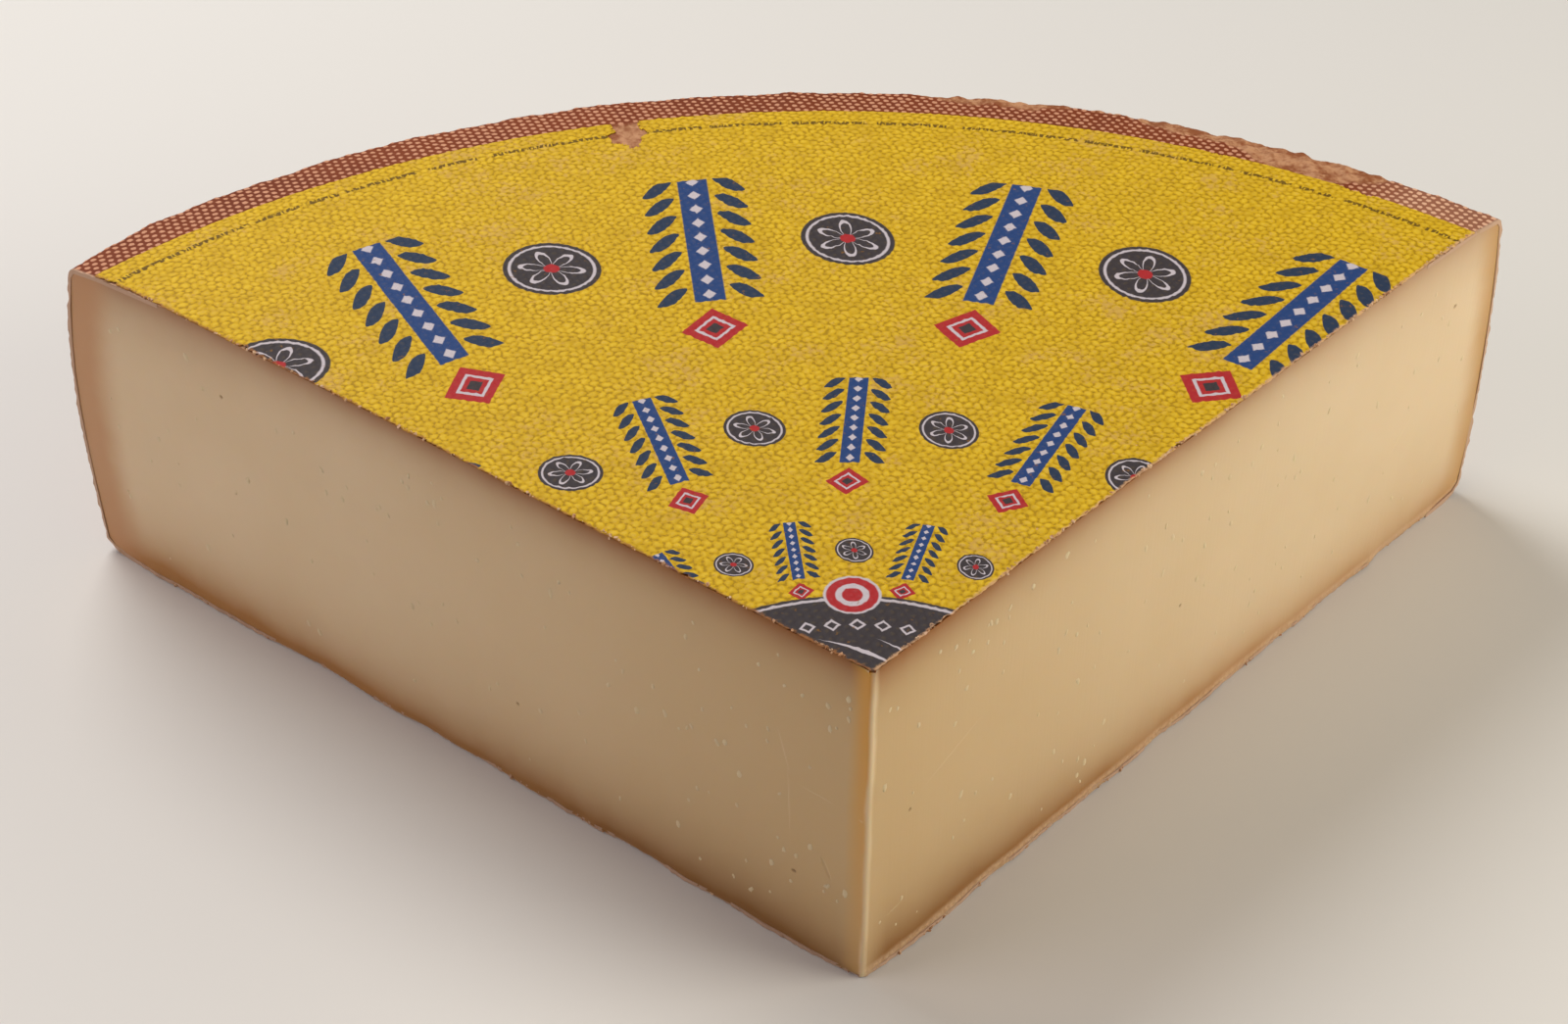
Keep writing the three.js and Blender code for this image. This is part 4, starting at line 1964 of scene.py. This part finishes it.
@dataclass
class Wedge:
    """All pieces of the cheese, each with its finish."""

    wheel: Wheel = field(default_factory=Wheel)
    weave: Weave = field(default_factory=Weave)

    def marks(self) -> tuple[Mark, ...]:
        """The marks on both cuts.

        Returns:
            The marks.
        """
        left, right = Cut.LEFT, Cut.RIGHT
        eye, gouge, scratch = MarkKind.EYE, MarkKind.GOUGE, MarkKind.SCRATCH
        return (
            Mark(right, eye, 258.7, 83.0, 1.7, 1.5, 0, 0.3),
            Mark(right, eye, 16.1, 51.0, 1.1, 1.3, 0, 0.35),
            Mark(right, eye, 131.0, 47.0, 1.1, 1.1, 0, 0.4),
            Mark(left, eye, 225.0, 86.0, 1.2, 1.2, 0, 0.4),
            Mark(left, eye, 22.9, 26.1, 1.7, 1.2, 0, 0.4),
            Mark(left, eye, 118.0, 31.0, 1.2, 1.0, 0, 0.4),
            Mark(left, gouge, 12.6, 33.5, 8.0, 1.1, 64, 0.35),
            Mark(left, scratch, 15.5, 57.8, 12.5, 0.5, 2, 0.1),
            Mark(left, scratch, 24.8, 50.0, 23.0, 0.5, 88, 0.08),
            Mark(left, scratch, 26.5, 67.0, 14.0, 0.5, 74, 0.06),
            Mark(left, scratch, 1.9, 57.0, 1.6, 0.8, 0, -0.1),
            Mark(right, scratch, 33.0, 60.0, 24.0, 0.5, 22, 0.07),
            Mark(right, scratch, 238.0, 46.0, 18.0, 0.7, 43, -0.12),
            Mark(right, scratch, 11.5, 18.5, 6.0, 0.5, 12, -0.15),
        )

    def tears(self) -> tuple[tuple[float, tuple[tuple[float, float], ...]], ...]:
        """Where the label's rim is torn: the same places as in the CAD model.

        Returns:
            For each tear its angle in degrees, and steps along the rim and in from it.
        """
        bay = (
            (-5.5, -4.0), (-5.0, 4.5), (-7.5, 7.0), (-7.0, 13.0), (-3.8, 14.0), (-1.0, 17.0),
            (2.2, 16.5), (3.5, 12.0), (5.6, 7.0), (4.6, 4.0), (4.2, -4.0),
        )
        nick = ((-7.0, -3.0), (-5.0, 0.6), (-1.5, 1.6), (2.5, 1.2), (5.0, 2.2), (8.0, 0.4), (9.0, -3.0))
        notch = ((-4.0, -3.0), (-2.6, 0.7), (0.5, 1.1), (3.4, 0.5), (4.4, -3.0))
        return ((-8.2, bay), (36.0, nick), (27.5, notch))

    def finish(self, piece: Piece, material: bpy.types.Material, node: str, slot: str) -> None:
        """Gives a piece its material, hangs it on the root body and hides the CAD node that it stands for.

        Args:
            piece: The piece.
            material: Its material.
            node: The CAD node that it stands for.
            slot: Not used.
        """
        piece.data.materials.clear()
        piece.data.materials.append(material)
        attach(piece, "root")
        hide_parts(node)
        piece.data.calc_loop_triangles()
        LOG.info("%s: %d triangles", piece.name, len(piece.data.loop_triangles))

    def build(self) -> None:
        """Makes all pieces in order."""
        wheel, weave = self.wheel, self.weave
        rind_finish = RindFinish().make()
        self.finish(Paste(wheel, self.marks()).build(), PasteFinish().make(wheel), "cheese", "cheese")
        self.finish(Rind(wheel, weave).build(), rind_finish, "cheese", "cheese")
        sole = Sheet(wheel, weave, "rind_underside", 2, 300.5, 1.3, 0.3, under=True, ragged=0.35)
        made = sole.build()
        for name in ("rubbed", "dry"):
            store(made, name, np.zeros(len(made.data.vertices)))
        self.finish(made, rind_finish, "cheese", "cheese")
        label = Sheet(wheel, weave, "printed_label", 3, 291.0, 0.3, 0.35, ragged=0.38, tears=self.tears())
        made = label.build()
        places = points(made)
        flat_map(made, places[:, 0], places[:, 1])
        self.finish(made, LabelFinish().make(wheel, weave), "label", "label")
        self.finish(Crystals(wheel).build(), GrainFinish().make(), "cheese", "cheese")
        self.finish(Crumbs(wheel).build(), CrumbFinish().make(), "cheese", "cheese")


def main() -> None:
    """Builds the studio and the wedge."""
    logging.basicConfig(level=logging.INFO, format="%(name)s: %(message)s")
    Studio().build()
    Wedge().build()


if __name__ == "__main__":
    main()
